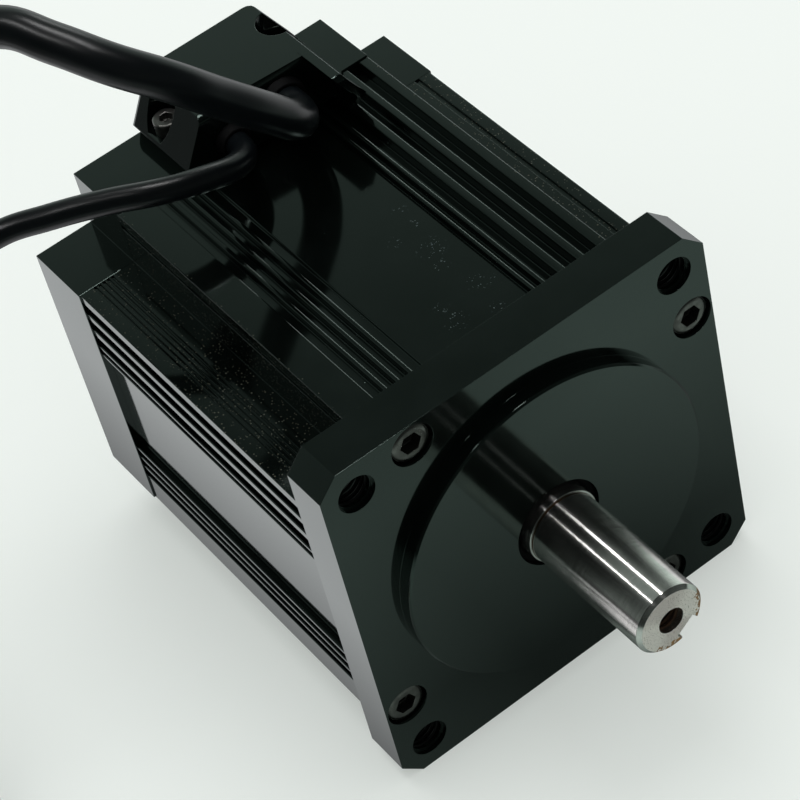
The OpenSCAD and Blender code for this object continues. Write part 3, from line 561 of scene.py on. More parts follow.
def outline(name: str, mesh: Mesh, finish: Finish, body: Body = Body.MOTOR) -> Piece:
    """Turn a mesh under work into a dressed piece on its body.

    Args:
        name: The piece's name.
        mesh: The mesh under work, which is freed.
        finish: The piece's finish.
        body: The body that it rides on.

    Returns:
        The new piece.
    """
    data = bpy.data.meshes.new(name)
    for face in mesh.faces:
        face.smooth = True
    mesh.to_mesh(data)
    mesh.free()
    data.materials.append(finish.build())
    piece = bpy.data.objects.new(name, data)
    bpy.context.scene.collection.objects.link(piece)
    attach(piece, body.value)
    return piece


@dataclass(frozen=True)
class Deburred:
    """A copy of a CAD node with its sharp edges broken, as a deburred part has them.

    Attributes:
        node: The CAD node that it stands for.
        name: The piece's name.
        finish: Its finish.
        slot: Its material slot, which is not used.
        edge: Width of the broken edges in millimetres.
        body: The body that it rides on.
    """

    node: str
    name: str
    finish: Finish
    slot: str
    edge: float
    body: Body = Body.MOTOR

    def build(self, rounds: Rounds = ()) -> Piece:
        """Copy the node, break its edges and dress it.

        Args:
            rounds: Widths in millimetres of rounder edges, each with the test that picks them.

        Returns:
            The new piece.
        """
        mesh = bmesh.new()
        mesh.from_mesh(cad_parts[self.node].data)
        bmesh.ops.remove_doubles(mesh, verts=mesh.verts, dist=SAME_SPOT)
        bmesh.ops.dissolve_limit(mesh, angle_limit=SAME_FACE, verts=mesh.verts, edges=mesh.edges)
        for width, picked in (*rounds, (self.edge, None)):
            sharp = [
                e for e in mesh.edges
                if len(e.link_faces) == 2
                and e.calc_face_angle(0) > SHARP
                and (picked is None or picked(e.verts[0].co / MM, e.verts[1].co / MM))
            ]
            bmesh.ops.bevel(
                mesh, geom=sharp, offset=width * MM, offset_type="OFFSET", profile=0.5,
                segments=3 if picked else 2, affect="EDGES", clamp_overlap=False,
            )
        piece = outline(self.name, mesh, self.finish, self.body)
        weighted = piece.modifiers.new("flat_faces_stay_flat", "WEIGHTED_NORMAL")
        weighted.weight = 90
        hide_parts(self.node)
        return piece


@dataclass(frozen=True)
class Thread:
    """The ridge of an inner thread along Y. Sizes are in millimetres.

    Attributes:
        start: Where it starts.
        end: Where it ends.
        radius: The hole's radius.
        pitch: Distance from ridge to ridge.
        depth: Height of the ridge.
        sides: Number of steps round the hole.
    """

    start: float
    end: float
    radius: float
    pitch: float = 1.25
    depth: float = 0.4
    sides: int = 32

    def cut(self, mesh: Mesh, x: float, z: float) -> None:
        """Wind the ridge into a mesh under work.

        Args:
            mesh: The mesh under work.
            x: The hole's place across the motor.
            z: The hole's height.
        """
        steps = int((self.end - self.start - self.pitch) / self.pitch * self.sides)
        before = None
        for i in range(steps + 1):
            turn = 2 * math.pi * i / self.sides
            y = self.start + self.pitch * i / self.sides
            # The crest fades in and out over one turn, and the root lies just inside the wall.
            crest = self.radius - self.depth * min(1.0, i / self.sides, (steps - i) / self.sides)
            root = self.radius + 0.02
            row = []
            for r, rise in ((root, 0.06), (crest, 0.44), (crest, 0.56), (root, 0.94)):
                spot = (x + r * math.cos(turn), y + rise * self.pitch, z + r * math.sin(turn))
                row.append(mesh.verts.new(Vector(spot) * MM))
            if before:
                for k in range(4):
                    mesh.faces.new((before[k], row[k], row[(k + 1) % 4], before[(k + 1) % 4]))
            else:
                mesh.faces.new(row)
            before = row
        mesh.faces.new(before[::-1])


def bent(corners: list[Point], radius: float, steps: int = 6) -> list[Vector]:
    """Round the inner corners of a route, as a wire bends. Sizes are in millimetres.

    Args:
        corners: The route's corners.
        radius: Distance from a corner at which the bend starts.
        steps: Points on each bend.

    Returns:
        The route in metres.
    """
    spots = [Vector(c) for c in corners]
    route = [spots[0]]
    for before, corner, after in zip(spots, spots[1:], spots[2:]):
        a = corner + (before - corner).normalized() * radius
        b = corner + (after - corner).normalized() * radius
        for k in range(steps + 1):
            t = k / steps
            route.append(a.lerp(corner, t).lerp(corner.lerp(b, t), t))
    route.append(spots[-1])
    return [spot * MM for spot in route]


def brick(mesh: Mesh, place: Matrix, size: Point, edge: float) -> None:
    """Add a small block with broken edges to a mesh under work. Sizes are in millimetres.

    Args:
        mesh: The mesh under work.
        place: The block's place and turn, with its centre at the origin.
        size: The block's three sides.
        edge: Width of the broken edges.
    """
    made = bmesh.ops.create_cube(mesh, size=1.0, matrix=place @ Matrix.Diagonal((*size, 1.0)))
    corners = set(made["verts"])
    edges = [e for e in mesh.edges if e.verts[0] in corners and e.verts[1] in corners]
    bevelled = bmesh.ops.bevel(
        mesh, geom=edges, offset=edge, offset_type="OFFSET", segments=2, profile=0.5, affect="EDGES"
    )
    spots = {v for f in bevelled["faces"] for v in f.verts}
    bmesh.ops.scale(mesh, vec=(MM,) * 3, verts=list(spots))


def tube(mesh: Mesh, route: list[Vector], radius: float, sides: int, closed: bool = False) -> None:
    """Sweep a round wire along a route into a mesh under work.

    Args:
        mesh: The mesh under work.
        route: The wire's centre line in metres.
        radius: The wire's radius in metres.
        sides: Number of sides round the wire.
        closed: Whether the end joins the start.
    """
    count = len(route)
    rings = []
    side = Vector((0.31, 0.23, 0.92))
    for i, spot in enumerate(route):
        ahead = route[(i + 1) % count] if closed or i < count - 1 else spot
        behind = route[i - 1] if closed or i else spot
        way = (ahead - behind).normalized()
        side = (side - way * side.dot(way)).normalized()
        up = way.cross(side)
        turns = [2 * math.pi * k / sides for k in range(sides)]
        rings.append([
            mesh.verts.new(spot + radius * math.cos(t) * side + radius * math.sin(t) * up)
            for t in turns
        ])
    for i in range(count if closed else count - 1):
        a, b = rings[i], rings[(i + 1) % count]
        for k in range(sides):
            mesh.faces.new((a[k], a[(k + 1) % sides], b[(k + 1) % sides], b[k]))
    if not closed:
        mesh.faces.new(rings[0][::-1])
        mesh.faces.new(rings[-1])


@dataclass(frozen=True)
class Lamp:
    """One oblong lamp. Places and sizes are in metres.

    Attributes:
        name: Its name.
        place: Where it hangs.
        aim: The point that it faces.
        size: Its width and length.
        glow: Its brightness, where white paper in plain light has one.
        kind: Whether it lights surfaces or shows in mirrors.
    """

    name: str
    place: Point
    aim: Point
    size: tuple[float, float]
    glow: float
    kind: Glow

    def hang(self) -> None:
        """Hang the lamp with its width as near to X as its aim allows."""
        light = bpy.data.lights.new(self.name, "AREA")
        light.shape = "RECTANGLE"
        light.size, light.size_y = self.size
        light.energy = self.glow * math.pi * self.size[0] * self.size[1]
        lamp = bpy.data.objects.new(self.name, light)
        back = (Vector(self.place) - Vector(self.aim)).normalized()
        side = Vector((1, 0, 0))
        side = (side - back * side.dot(back)).normalized()
        turn = Matrix((side, back.cross(side), back)).transposed().to_4x4()
        lamp.matrix_world = Matrix.Translation(self.place) @ turn
        lamp.visible_diffuse = self.kind is not Glow.MIRRORED
        lamp.visible_glossy = self.kind is not Glow.LIGHTING
        bpy.context.scene.collection.objects.link(lamp)


class Stretch(NamedTuple):
    """How a brightness changes over a stretch of a surface.

    Attributes:
        along: The place that it is measured by.
        start: Where the stretch starts.
        end: Where it ends.
        first: Level up to its start.
        last: Level from its end on.
    """

    along: str
    start: float
    end: float
    first: float
    last: float


@dataclass
class Studio:
    """Camera, pale table and lamps. Places are in metres.

    Attributes:
        eye: The camera's place.
        turn: The camera's turn as a quaternion.
        lens: Focal length in millimetres.
        sensor: Width of the sensor in millimetres.
        table_z: Height of the table.
        table_reach: Half the table's width.
        paper: Colour of the table's paper.
        paper_share: How far the table shows its real shade, the rest being plain white.
        backdrop: Colours of that white, on the table and behind it.
        left: Mirrored table on the left: lit up to where it ends, and dim in the motor's shade.
        right: Mirrored table on the right.
        middle: Place across the motor that the distance aside is measured from.
        front: Mirrored table in front: in the motor's shade, and clearer further out.
        beside: Light that the front gains beside the middle.
        hues: Colours of the mirrored table behind the flange's face and in front of it.
        overhead: Mirrored room: dim overhead, in front and far left, with a paler ring between.
        room_hues: Colours of the room's light and of its mirror image.
        room_light: Brightness of the even light from all round.
        lamps: The lamps.
    """

    eye: Point = (-0.22218162, -0.40553398, 0.53291345)
    turn: tuple[float, float, float, float] = (0.87012275, 0.37105656, -0.03284688, -0.3226833)
    lens: float = 134.5926
    sensor: float = 36.0
    table_z: float = -0.055
    table_reach: float = 3.0
    paper: str = "#f4f8f5"
    paper_share: float = 0.6
    backdrop: tuple[str, str] = ("#f2f8f3", "#f1f7f2")
    left: tuple[Stretch, ...] = (
        Stretch("x", -0.075, -0.056, 1.2, 0.45),
        Stretch("x", -0.4, -0.25, 0.1, 1.0),
        Stretch("x", 0.0, 0.12, 1.0, 0.35),
    )
    right: tuple[Stretch, ...] = (Stretch("x", 0.16, 0.3, 0.0, 0.9),)
    middle: float = 0.01
    front: tuple[Stretch, ...] = (
        Stretch("y", -0.26, -0.12, 0.06, 1.0),
        Stretch("y", -0.075, -0.015, 0.47, 0.1),
    )
    beside: tuple[Stretch, ...] = (
        Stretch("y", -0.26, -0.12, 0.06, 1.0),
        Stretch("aside", 0.02, 0.06, 0.0, 0.13),
    )
    hues: tuple[str, str] = ("#f1f3f4", "#dff3ea")
    overhead: tuple[Stretch, ...] = (
        Stretch("z", 0.1, 0.62, 1.0, 0.44),
        Stretch("z", 0.62, 0.72, 1.0, 0.32),
        Stretch("x", -0.75, -0.35, 0.2, 1.0),
        Stretch("y", -0.1, 0.35, 0.1, 1.0),
        Stretch("z", 0.76, 0.82, 1.0, 3.0),
        Stretch("z", 0.9, 0.97, 1.0, 0.1),
    )
    room_hues: tuple[str, str] = ("#f4f7f5", "#e0f1e9")
    room_light: float = 0.62
    lamps: tuple[Lamp, ...] = (
        Lamp("soft_box", (0.15, 0.4, 1.8), (0, 0, 0), (1.5, 1.5), 2.6, Glow.LIGHTING),
        Lamp("right_strip", (0.34, 0.25, 1.6), (0, 0, 0), (0.2, 0.9), 16.0, Glow.MIRRORED),
        Lamp("left_strip", (-0.646, 0.25, 1.6), (0, 0, 0), (0.12, 0.9), 16.0, Glow.MIRRORED),
        Lamp("window", (0.78, 0.87, 0.6), (0, 0, 0.06), (0.16, 0.3), 4.0, Glow.MIRRORED),
    )

    def camera(self) -> None:
        """Place the camera where the photograph was taken from."""
        lens = bpy.data.cameras.new("photo_camera")
        lens.lens = self.lens
        lens.sensor_width = self.sensor
        camera = bpy.data.objects.new("photo_camera", lens)
        camera.location = self.eye
        camera.rotation_mode = "QUATERNION"
        camera.rotation_quaternion = Quaternion(self.turn)
        bpy.context.scene.collection.objects.link(camera)
        bpy.context.scene.camera = camera

    def table(self) -> None:
        """Lay the pale table, which keeps the motor's soft shadow."""
        mesh = bmesh.new()
        bmesh.ops.create_grid(mesh, x_segments=8, y_segments=8, size=self.table_reach)
        bmesh.ops.translate(mesh, verts=mesh.verts, vec=(0, 0, self.table_z))
        data = bpy.data.meshes.new("table")
        mesh.to_mesh(data)
        mesh.free()
        table = bpy.data.objects.new("table", data)
        bpy.context.scene.collection.objects.link(table)
        data.materials.append(self.table_finish())

    def graded(
        self, tree: Tree, places: dict[str, Socket], stretches: tuple[Stretch, ...]
    ) -> Socket:
        """Grade a brightness over a surface.

        Args:
            tree: The node tree.
            places: The places that the stretches are measured by.
            stretches: The stretches, whose levels multiply.

        Returns:
            The brightness.
        """
        level: Socket | float = 1.0
        for along, start, end, first, last in stretches:
            ramp = {"From Min": start, "From Max": end, "To Min": first, "To Max": last}
            part = add(tree, "MapRange", {"Value": places[along], **ramp})[0]
            level = add(tree, "Math", {0: level, 1: part}, operation="MULTIPLY")[0]
        return level

    def table_finish(self) -> bpy.types.Material:
        """Draw the table: pale paper to the eye, with a lit and a dim side for mirrors.

        Returns:
            The material.
        """
        material = bpy.data.materials.new("pale_table_paper")
        material.use_nodes = True
        tree = material.node_tree
        tree.nodes.remove(tree.nodes["Principled BSDF"])
        rays = add(tree, "LightPath")
        x, y, _ = add(tree, "SeparateXYZ", {0: add(tree, "NewGeometry")["Position"]})
        aside = add(tree, "Math", {0: x, 1: self.middle}, operation="SUBTRACT")[0]
        aside = add(tree, "Math", {0: aside}, operation="ABSOLUTE")[0]
        places = {"x": x, "y": y, "aside": aside}
        paper = add(tree, "BsdfDiffuse", {"Color": tint(self.paper)})[0]
        white = add(tree, "Emission", {"Color": tint(self.backdrop[0]), "Strength": 1.0})[0]
        half = add(tree, "MixShader", {0: self.paper_share, 1: white, 2: paper})[0]
        behind, front = (
            add(
                tree, "Math",
                {0: self.graded(tree, places, one), 1: self.graded(tree, places, other)},
                operation="ADD",
            )[0]
            for one, other in ((self.left, self.right), (self.front, self.beside))
        )
        in_front = add(tree, "Math", {0: y, 1: 0.0}, operation="LESS_THAN")[0]
        level = add(tree, "Mix", {0: in_front, 2: behind, 3: front}, data_type="FLOAT")[0]
        shades = {0: in_front, 6: tint(self.hues[0]), 7: tint(self.hues[1])}
        hue = add(tree, "Mix", shades, data_type="RGBA")[2]
        mirrored = add(tree, "Emission", {"Color": hue, "Strength": level})[0]
        seen = add(tree, "MixShader", {0: rays["Is Camera Ray"], 1: paper, 2: half})[0]
        both = add(tree, "MixShader", {0: rays["Is Glossy Ray"], 1: seen, 2: mirrored})[0]
        feed(tree.nodes["Material Output"], {"Surface": both})
        return material

    def room(self) -> None:
        """Light the room: white to the eye, even on the object, dim overhead for mirrors."""
        world = bpy.data.worlds.new("studio_room")
        world.use_nodes = True
        tree = world.node_tree
        tree.nodes.remove(tree.nodes["Background"])
        rays = add(tree, "LightPath")
        places = dict(zip("xyz", add(tree, "SeparateXYZ", {0: add(tree, "TexCoord")["Generated"]})))
        level = self.graded(tree, places, self.overhead)
        seen, even, glow = (
            add(tree, "Background", {"Color": tint(hue), "Strength": strength})[0]
            for hue, strength in (
                (self.backdrop[1], 1.0),
                (self.room_hues[0], self.room_light),
                (self.room_hues[1], level),
            )
        )
        lit = add(tree, "MixShader", {0: rays["Is Glossy Ray"], 1: even, 2: glow})[0]
        both = add(tree, "MixShader", {0: rays["Is Camera Ray"], 1: lit, 2: seen})[0]
        feed(tree.nodes["World Output"], {"Surface": both})
        bpy.context.scene.world = world
        bpy.context.scene.view_settings.view_transform = "Standard"

    def build(self) -> list[Piece]:
        """Set up the studio.

        Returns:
            No pieces, because nothing here belongs to the motor.
        """
        self.camera()
        self.table()
        self.room()
        for lamp in self.lamps:
            lamp.hang()
        return []


POWER_ROUTE = (
    (0.00950, 0.09950, 0.06250), (0.00847, 0.09298, 0.06402), (0.00396, 0.08649, 0.06952),
    (-0.00297, 0.08407, 0.07799), (-0.01397, 0.08352, 0.09053), (-0.02497, 0.08451, 0.10296),
    (-0.03399, 0.09001, 0.11055), (-0.04103, 0.10002, 0.11528), (-0.04796, 0.11300, 0.11748),
    (-0.05797, 0.12400, 0.11198), (-0.07205, 0.12906, 0.09900), (-0.08602, 0.12807, 0.07997),
    (-0.09900, 0.12301, 0.05797), (-0.11198, 0.11399, 0.03300), (-0.12397, 0.10299, 0.00704),
    (-0.13596, 0.09001, -0.01705), (-0.14696, 0.07406, -0.03597), (-0.15400, 0.05503, -0.04653),
    (-0.15598, 0.03402, -0.04900), (-0.15598, 0.01202, -0.04900), (-0.15675, -0.00987, -0.04900),
    (-0.15950, -0.03022, -0.04900),
)
SENSOR_ROUTE = (
    (-0.00600, 0.09950, 0.06050), (-0.00748, 0.09408, 0.06160), (-0.01298, 0.08902, 0.06446),
    (-0.02101, 0.08748, 0.06754), (-0.03201, 0.08957, 0.06974), (-0.04400, 0.09606, 0.07040),
    (-0.05599, 0.10255, 0.06996), (-0.06798, 0.10805, 0.06897), (-0.08096, 0.11201, 0.06303),
    (-0.09405, 0.11201, 0.05104), (-0.10505, 0.10706, 0.03498), (-0.11396, 0.09804, 0.01595),
    (-0.12199, 0.08704, -0.00396), (-0.13002, 0.07406, -0.02299), (-0.13750, 0.05899, -0.03905),
    (-0.14355, 0.04205, -0.04785), (-0.14696, 0.02478, -0.05075), (-0.14740, 0.00883, -0.05075),
    (-0.14575, -0.00987, -0.05075), (-0.14135, -0.02692, -0.05075),
)


@dataclass(frozen=True)
class Lead:
    """One jacketed lead along its route, with the connector at its end. Sizes are in metres.

    Attributes:
        name: First word of the names of its pieces.
        route: Points of its centre line.
        radius: Radius of the jacket.
        length: Real length, which is not used.
        shell: Finish of the connector.
        slot: Material slot of the connector, which is not used.
        ways: Number of contacts.
        plug: Length, width and height of the connector's body.
        relief: Length of the strain relief behind it.
        lift: Distance from the lead's middle down to the connector's underside.
        margin: Room beside the outer contacts in pitches.
        contact: A contact's length, width and height as shares of the plug, pitch and plug.
        contact_place: Place of its middle as a share of the plug's length.
        contact_edge: Width of its broken edges as a share of the pitch.
    """

    name: str
    route: tuple[Point, ...]
    radius: float
    length: float
    shell: Finish
    slot: str
    ways: int
    plug: Point
    relief: float = 0.010
    lift: float = 0.006
    margin: float = 0.6
    contact: Point = (0.46, 0.34, 0.12)
    contact_place: float = 0.66
    contact_edge: float = 0.05

    def jacket(self) -> Piece:
        """Lay the jacket along the route.

        Returns:
            The jacket as a smooth curve.
        """
        curve = bpy.data.curves.new(self.name + "_lead_jacket", "CURVE")
        curve.dimensions = "3D"
        curve.bevel_depth = self.radius
        curve.bevel_resolution = 6
        curve.resolution_u = 8
        curve.use_fill_caps = True
        spline = curve.splines.new("BEZIER")
        spline.bezier_points.add(len(self.route) - 1)
        for knot, spot in zip(spline.bezier_points, self.route):
            knot.co = spot
            knot.handle_left_type = knot.handle_right_type = "AUTO"
        curve.materials.append(JACKET.build())
        piece = bpy.data.objects.new(self.name + "_lead_jacket", curve)
        bpy.context.scene.collection.objects.link(piece)
        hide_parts(self.name + "_lead")
        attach(piece, Body.MOTOR.value)
        return piece

    def contacts(self) -> Piece:
        """Set the flat contacts in the connector's openings.

        Returns:
            The contacts.
        """
        mesh = bmesh.new()
        last, before = Vector(self.route[-1]), Vector(self.route[-2])
        way = last - before
        turn = Matrix.Translation(last / MM) @ Matrix.Rotation(math.atan2(way.y, way.x), 4, "Z")
        long, wide, high = (side / MM for side in self.plug)
        pitch = wide / (self.ways + self.margin)
        along = self.relief / MM + long * self.contact_place
        size = (long * self.contact[0], pitch * self.contact[1], high * self.contact[2])
        for k in range(self.ways):
            across = (k - (self.ways - 1) / 2) * pitch
            middle = Matrix.Translation((along, across, high / 2 - self.lift / MM))
            brick(mesh, turn @ middle, size, pitch * self.contact_edge)
        return outline(self.name + "_contacts", mesh, TINNED)

    def build(self, more: list[Piece]) -> list[Piece]:
        """Build the lead with its connector.

        Args:
            more: Further pieces on this lead.

        Returns:
            Its pieces.
        """
        node = self.name + "_connector"
        shell = Deburred(node, node + "_shell", self.shell, self.slot, 0.3).build()
        contacts = self.contacts()
        jacket = self.jacket()
        node = self.name + "_grommet"
        # The lip's rubber is drawn darker than its own black, as painted shade under the block's
        # roof.
        lip = Deburred(node, node + "_lip", RUBBER_DARKENED_AS_SHADE, "black_rubber", 0.3).build()
        return [jacket, shell, contacts, lip, *more]


@dataclass
class LeadSet:
    """Both leads and the strap that ties them.

    Attributes:
        power: The thick lead.
        sensor: The thin lead.
        tie: The strap.
    """

    power: Lead = Lead(
        "power", POWER_ROUTE, 0.005, 0.413, NYLON, "black_nylon", 3, (0.030, 0.020, 0.016)
    )
    sensor: Lead = Lead(
        "sensor", SENSOR_ROUTE, 0.00325, 0.312, WHITE_NYLON, "white_nylon", 5,
        (0.016, 0.013, 0.008775), lift=0.00425,
    )
    tie: Deburred = Deburred("lead_tie", "lead_tie_strap", NYLON, "black_nylon", 0.2)

    def build(self) -> list[Piece]:
        """Build both leads.

        Returns:
            Their pieces.
        """
        return [*self.power.build([self.tie.build()]), *self.sensor.build([])]


@dataclass
class Shell:
    """Flange, housing, cap and terminal block with their screws. Sizes are in millimetres.

    Attributes:
        parts: The pieces that stand for CAD nodes, with their plain edges.
        long_edge: Least length of an edge that runs along the housing.
        rib_edge: Width of the rounder edges along its ribs.
        rib_reach: Distance from the axis beyond which an edge belongs to a rib.
        land: Distance from the middle at which the flat corner lands start.
        land_edge: Width of the edge between a land and its corner notch.
        head_edge: Width of the round rim of a screw's head.
        head_spots: Centres of the flange screws.
        head_reach: Distance from them beyond which an edge is a head's rim.
        head_depth: Depth behind the flange's face within which a rim lies.
        corner: Rounding of the terminal block's upright rear corners.
        corner_rise: Least rise of such a corner.
        corner_level: Height above which it ends.
        corner_place: Place along the axis beyond which it lies, just in front of the cap's rear.
        hole_spot: Distance of the mounting holes from the axis, across and up.
        hole: Their thread.
    """

    parts: tuple[Deburred, ...] = (
        Deburred("front_flange", "flange_plate", ANODISED, "black_anodised", 0.08),
        Deburred("housing", "ribbed_housing", ANODISED, "black_anodised", 0.13),
        Deburred("rear_cap", "rear_cap_body", ANODISED, "black_anodised", 0.14),
        Deburred("terminal_block", "terminal_block_body", ANODISED, "black_anodised", 0.14),
        Deburred("flange_screws", "flange_cap_screws", BLACKENED, "black_oxide_steel", 0.18),
        Deburred("rear_screws", "rear_cap_screws", BLACKENED, "black_oxide_steel", 0.18),
        Deburred("block_screws", "block_cap_screws", BLACKENED, "black_oxide_steel", 0.18),
    )
    long_edge: float = 50.0
    rib_edge: float = 0.36
    rib_reach: float = 50.4
    land: float = 33.0
    land_edge: float = 0.26
    head_edge: float = 0.9
    head_spots: tuple[tuple[float, float], ...] = (
        (48.8, 29.5), (-29.5, 48.8), (-48.8, -29.5), (29.5, -48.8)
    )
    head_reach: float = 4.2
    head_depth: float = 1.0
    corner: float = 2.0
    corner_rise: float = 3.0
    corner_level: float = 60.0
    corner_place: float = 128.3
    hole_spot: float = 45.72
    hole: Thread = Thread(1.5, 12.6, 4.5)

    def runs_outside(self, a: Vector, b: Vector) -> bool:
        """Tell a long edge of the housing's outer sides."""
        return abs(a.y - b.y) > self.long_edge and max(abs(a.x), abs(a.z)) > self.rib_reach

    def on_rib(self, a: Vector, b: Vector) -> bool:
        """Tell an edge that runs along a rib of the housing."""
        return self.runs_outside(a, b) and min(abs(a.x), abs(a.z)) < self.land

    def on_land(self, a: Vector, b: Vector) -> bool:
        """Tell the edge between a flat corner land of the housing and its notch."""
        return self.runs_outside(a, b) and self.land < min(abs(a.x), abs(a.z)) < self.rib_reach

    def on_head(self, a: Vector, b: Vector) -> bool:
        """Tell an edge on the rim of a flange screw's head."""
        away = min(math.dist((a.x, a.z), spot) for spot in self.head_spots)
        return away > self.head_reach and max(a.y, b.y) < self.head_depth

    def on_corner(self, a: Vector, b: Vector) -> bool:
        """Tell an upright or sloping rear corner of the terminal block."""
        upright = abs(a.z - b.z) > self.corner_rise and max(a.z, b.z) > self.corner_level
        return upright and min(a.y, b.y) > self.corner_place

    def build(self) -> list[Piece]:
        """Build the black outer parts.

        Returns:
            Their pieces.
        """
        rounds = {
            "housing": ((self.rib_edge, self.on_rib), (self.land_edge, self.on_land)),
            "terminal_block": ((self.corner, self.on_corner),),
            "flange_screws": ((self.head_edge, self.on_head),),
        }
        pieces = [part.build(rounds.get(part.node, ())) for part in self.parts]
        mesh = bmesh.new()
        for x in (-self.hole_spot, self.hole_spot):
            for z in (-self.hole_spot, self.hole_spot):
                self.hole.cut(mesh, x, z)
        return [*pieces, outline("mounting_hole_threads", mesh, TAPPED)]


@dataclass
class Rotor:
    """Shaft, rotor core, magnets, rings and seal.

    Attributes:
        parts: The pieces that stand for CAD nodes.
        bore: Thread of the bore in the shaft's end.
    """

    parts: tuple[Deburred, ...] = (
        Deburred("shaft", "output_shaft", GROUND, "ground_steel", 0.15, Body.ROTOR),
        Deburred("rotor_core", "rotor_core_stack", SHEETS, "lamination_steel", 0.12, Body.ROTOR),
        Deburred("rotor_magnets", "rotor_magnet_set", NICKEL, "magnet", 0.3, Body.ROTOR),
        Deburred(
            "retaining_rings", "shaft_retaining_rings", SPRING, "spring_steel", 0.1, Body.ROTOR
        ),
        # The seal uses the same rubber, drawn darker than its own black as painted shade.
        Deburred("shaft_seal", "shaft_seal_ring", RUBBER_DARKENED_AS_SHADE, "black_rubber", 0.1),
    )
    bore: Thread = Thread(-44.4, -26.0, 3.5)

    def build(self) -> list[Piece]:
        """Build the turning parts and the seal that they turn in.

        Returns:
            Their pieces.
        """
        mesh = bmesh.new()
        self.bore.cut(mesh, 0, 0)
        cut = outline("shaft_end_thread", mesh, RUSTED, Body.ROTOR)
        return [cut, *(part.build() for part in self.parts)]


@dataclass
class Stator:
    """Laminated stator with a coil of enamelled wire on each tooth. Sizes are in millimetres.

    Attributes:
        parts: The pieces that stand for CAD nodes.
        teeth: Number of teeth.
        middle: Middle of the stack along the axis.
        near: Distance of a coil's inner side from the axis.
        far: Distance of its outer side.
        opening: Half the width of the tooth and insulation inside a coil.
        straight: Half the length of a coil's straight sides.
        first: Distance from the stack's middle to the end of the innermost turns.
        last: Distance to the end of the outermost turns.
        wire: Diameter of the wire.
        layers: Layers of wire.
        rows: Turns in a layer.
        bend: Points on the bend at a coil's end.
    """

    parts: tuple[Deburred, ...] = (
        Deburred("stator_core", "stator_core_stack", SHEETS, "lamination_steel", 0.1),
        Deburred("end_insulators", "end_insulator_pair", POLYESTER, "cream_plastic", 0.15),
    )
    teeth: int = 12
    middle: float = 55.5
    near: float = 31.45
    far: float = 37.2
    opening: float = 4.465
    straight: float = 27.5
    first: float = 30.2
    last: float = 35.2
    wire: float = 1.02
    layers: int = 3
    rows: int = 5
    bend: int = 9

    def turn(self, layer: int, row: int) -> list[Vector]:
        """Route one turn round a tooth that points along X.

        Args:
            layer: The turn's layer, from the tooth outwards.
            row: Its place in the layer, from the axis outwards.

        Returns:
            Points of the closed turn.
        """
        x = self.near + self.wire / 2 + row * (self.far - self.near - self.wire) / (self.rows - 1)
        wide = self.opening + self.wire * (layer + 0.5)
        arc = self.first + (self.last - self.first) * layer / (self.layers - 1) - self.straight
        route = []
        for side in (1, -1):
            for k in range(self.bend):
                t = math.pi * k / (self.bend - 1)
                y = self.middle + side * (self.straight + arc * math.sin(t))
                route.append(Vector((x, y, side * wide * math.cos(t))))
        return route

    def build(self) -> list[Piece]:
        """Build the stator.

        Returns:
            Its pieces.
        """
        mesh = bmesh.new()
        turns = [self.turn(layer, row) for layer in range(self.layers) for row in range(self.rows)]
        for k in range(self.teeth):
            about = Matrix.Rotation(2 * math.pi * k / self.teeth, 3, "Y")
            for route in turns:
                round_tooth = [about @ spot * MM for spot in route]
                tube(mesh, round_tooth, self.wire / 2 * MM, 6, closed=True)
        coils = outline("tooth_coil_turns", mesh, ENAMELLED)
        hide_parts("stator_windings")
        return [coils, *(part.build() for part in self.parts)]


@dataclass(frozen=True)
class Loom:
    """A row of wires that run back and up into the terminal block. Sizes are in millimetres.

    Attributes:
        node: The CAD node that they stand for.
        name: The piece's name.
        finish: Their finish.
        slot: Their material slot, which is not used.
        places: Their places across the motor.
        radius: A wire's radius.
        level: Height at which they run back.
        start: Where they start along the axis.
        back: Where they turn up.
        top: Height of their ends.
        bend: Where the bend starts before its corner, in radii.
    """

    node: str
    name: str
    finish: Finish
    slot: str
    places: tuple[float, ...]
    radius: float
    level: float
    start: float
    back: float
    top: float = 65.2
    bend: float = 2.6

    def build(self) -> Piece:
        """Bend the wires.

        Returns:
            The wires as one piece.
        """
        mesh = bmesh.new()
        for x in self.places:
            low, turning = (x, self.start, self.level), (x, self.back, self.level)
            route = bent([low, turning, (x, self.back, self.top)], self.radius * self.bend)
            tube(mesh, route, self.radius * MM, 14)
        piece = outline(self.name, mesh, self.finish)
        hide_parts(self.node)
        return piece


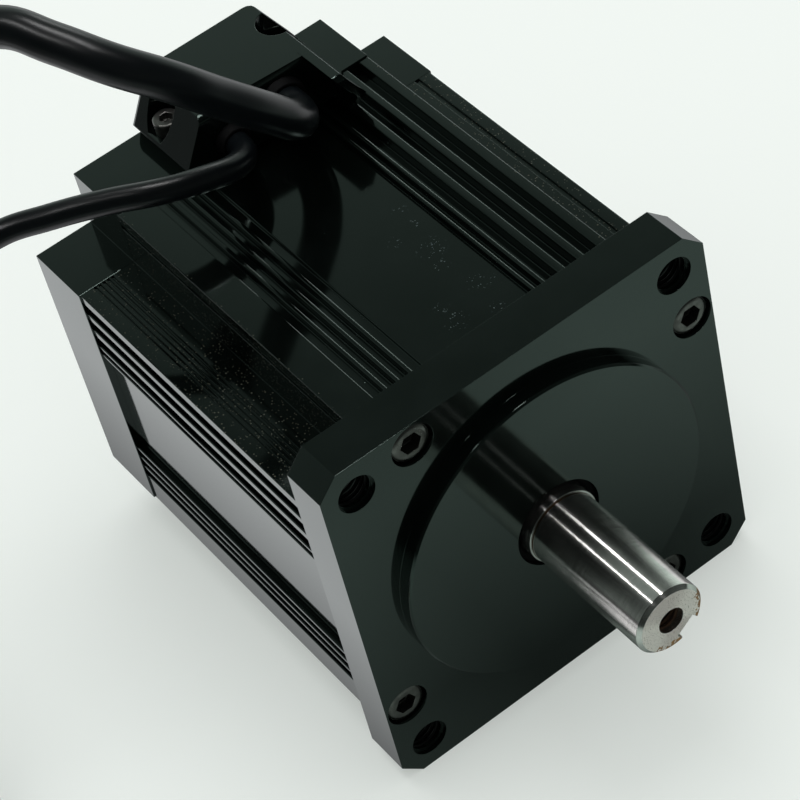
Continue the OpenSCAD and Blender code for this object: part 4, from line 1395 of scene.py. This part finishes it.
@dataclass
class Wiring:
    """Sensor board and the wires up to the terminal block. Sizes are in millimetres.

    Attributes:
        parts: The pieces that stand for CAD nodes.
        looms: The rows of wires.
        ring: Radius of the row of small chips on the board.
        chips: Their places round the board in degrees.
        chip_sizes: Their sizes, by turns.
        chip_edge: Width of their broken edges.
        tracks: Radii of the board's tracks.
        track: Half the thickness of a track.
        track_start: Where the tracks start round the board in degrees.
        track_turn: How far they run round it.
    """

    parts: tuple[Deburred, ...] = (
        Deburred("sensor_board", "sensor_board_ring", BOARD, "board_green", 0.08),
        Deburred("hall_sensors", "hall_sensor_set", EPOXY, "sensor_black", 0.15),
        Deburred("board_screws", "board_screw_set", SPRING, "spring_steel", 0.12),
    )
    looms: tuple[Loom, ...] = (
        Loom(
            "phase_leads", "phase_wires", RED_WIRE, "wire_red", (-4.5, 0.0, 4.5),
            1.4, 36.48, 91.24, 113.2,
        ),
        Loom(
            "sensor_wires", "signal_wires", BLUE_WIRE, "wire_blue",
            (-3.25, -1.625, 0.0, 1.625, 3.25), 0.65, 25.3, 95.2, 118.46,
        ),
    )
    ring: float = 33.0
    chips: tuple[float, ...] = (186.0, 204.0, 228.0, 252.0, 288.0, 306.0, 336.0, 354.0)
    chip_sizes: tuple[Point, Point] = ((2.6, 1.2, 2.6), (1.6, 0.9, 3.0))
    chip_edge: float = 0.12
    tracks: tuple[float, ...] = (25.4, 26.6, 36.2, 37.4, 38.6)
    track: float = 0.16
    track_start: float = 168.0
    track_turn: float = 204.0

    def board_details(self) -> list[Piece]:
        """Put chips and tracks on the board's rear face.

        Returns:
            The chips and the tracks.
        """
        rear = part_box("sensor_board")[1].y / MM
        chips, tracks = bmesh.new(), bmesh.new()
        for i, degrees in enumerate(self.chips):
            about = Matrix.Rotation(math.radians(-degrees), 4, "Y")
            size = self.chip_sizes[i % 2]
            place = Matrix.Translation((self.ring, rear + size[1] / 2, 0))
            brick(chips, about @ place, size, self.chip_edge)
        turns = [math.radians(self.track_start + self.track_turn * k / 48) for k in range(49)]
        for radius in self.tracks:
            route = [Vector((radius * math.cos(a), rear, radius * math.sin(a))) * MM for a in turns]
            tube(tracks, route, self.track * MM, 6)
        return [
            outline("board_chips", chips, EPOXY),
            outline("board_tracks", tracks, TINNED),
        ]

    def build(self) -> list[Piece]:
        """Build the board, its sensors and the wires.

        Returns:
            Their pieces.
        """
        return [*(part.build() for part in (*self.parts, *self.looms)), *self.board_details()]


@dataclass
class Bearings:
    """Both ball bearings and the preload washer, whose CAD shapes are the real ones.

    Attributes:
        finishes: Each finish with the CAD nodes that get it.
    """

    finishes: tuple[tuple[Finish, tuple[str, ...]], ...] = (
        (HONED, ("front_outer_ring", "front_inner_ring", "rear_outer_ring", "rear_inner_ring")),
        (HONED, ("front_balls", "rear_balls")),
        (BRASS, ("front_cage", "rear_cage")),
        (SPRING, ("preload_washer",)),
    )

    def build(self) -> list[Piece]:
        """Dress the bearings.

        Returns:
            Their CAD pieces.
        """
        pieces = []
        for finish, nodes in self.finishes:
            for node in nodes:
                pieces.append(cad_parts[node])
                for slot in pieces[-1].material_slots:
                    slot.material = finish.build()
        return pieces


def main() -> None:
    """Build the motor piece by piece."""
    logging.basicConfig(level=logging.INFO, format="%(name)s: %(message)s")
    for part in (Studio(), LeadSet(), Shell(), Rotor(), Stator(), Wiring(), Bearings()):
        for piece in part.build():
            LOG.info("%s: %s", type(part).__name__, piece.name)


if __name__ == "__main__":
    main()
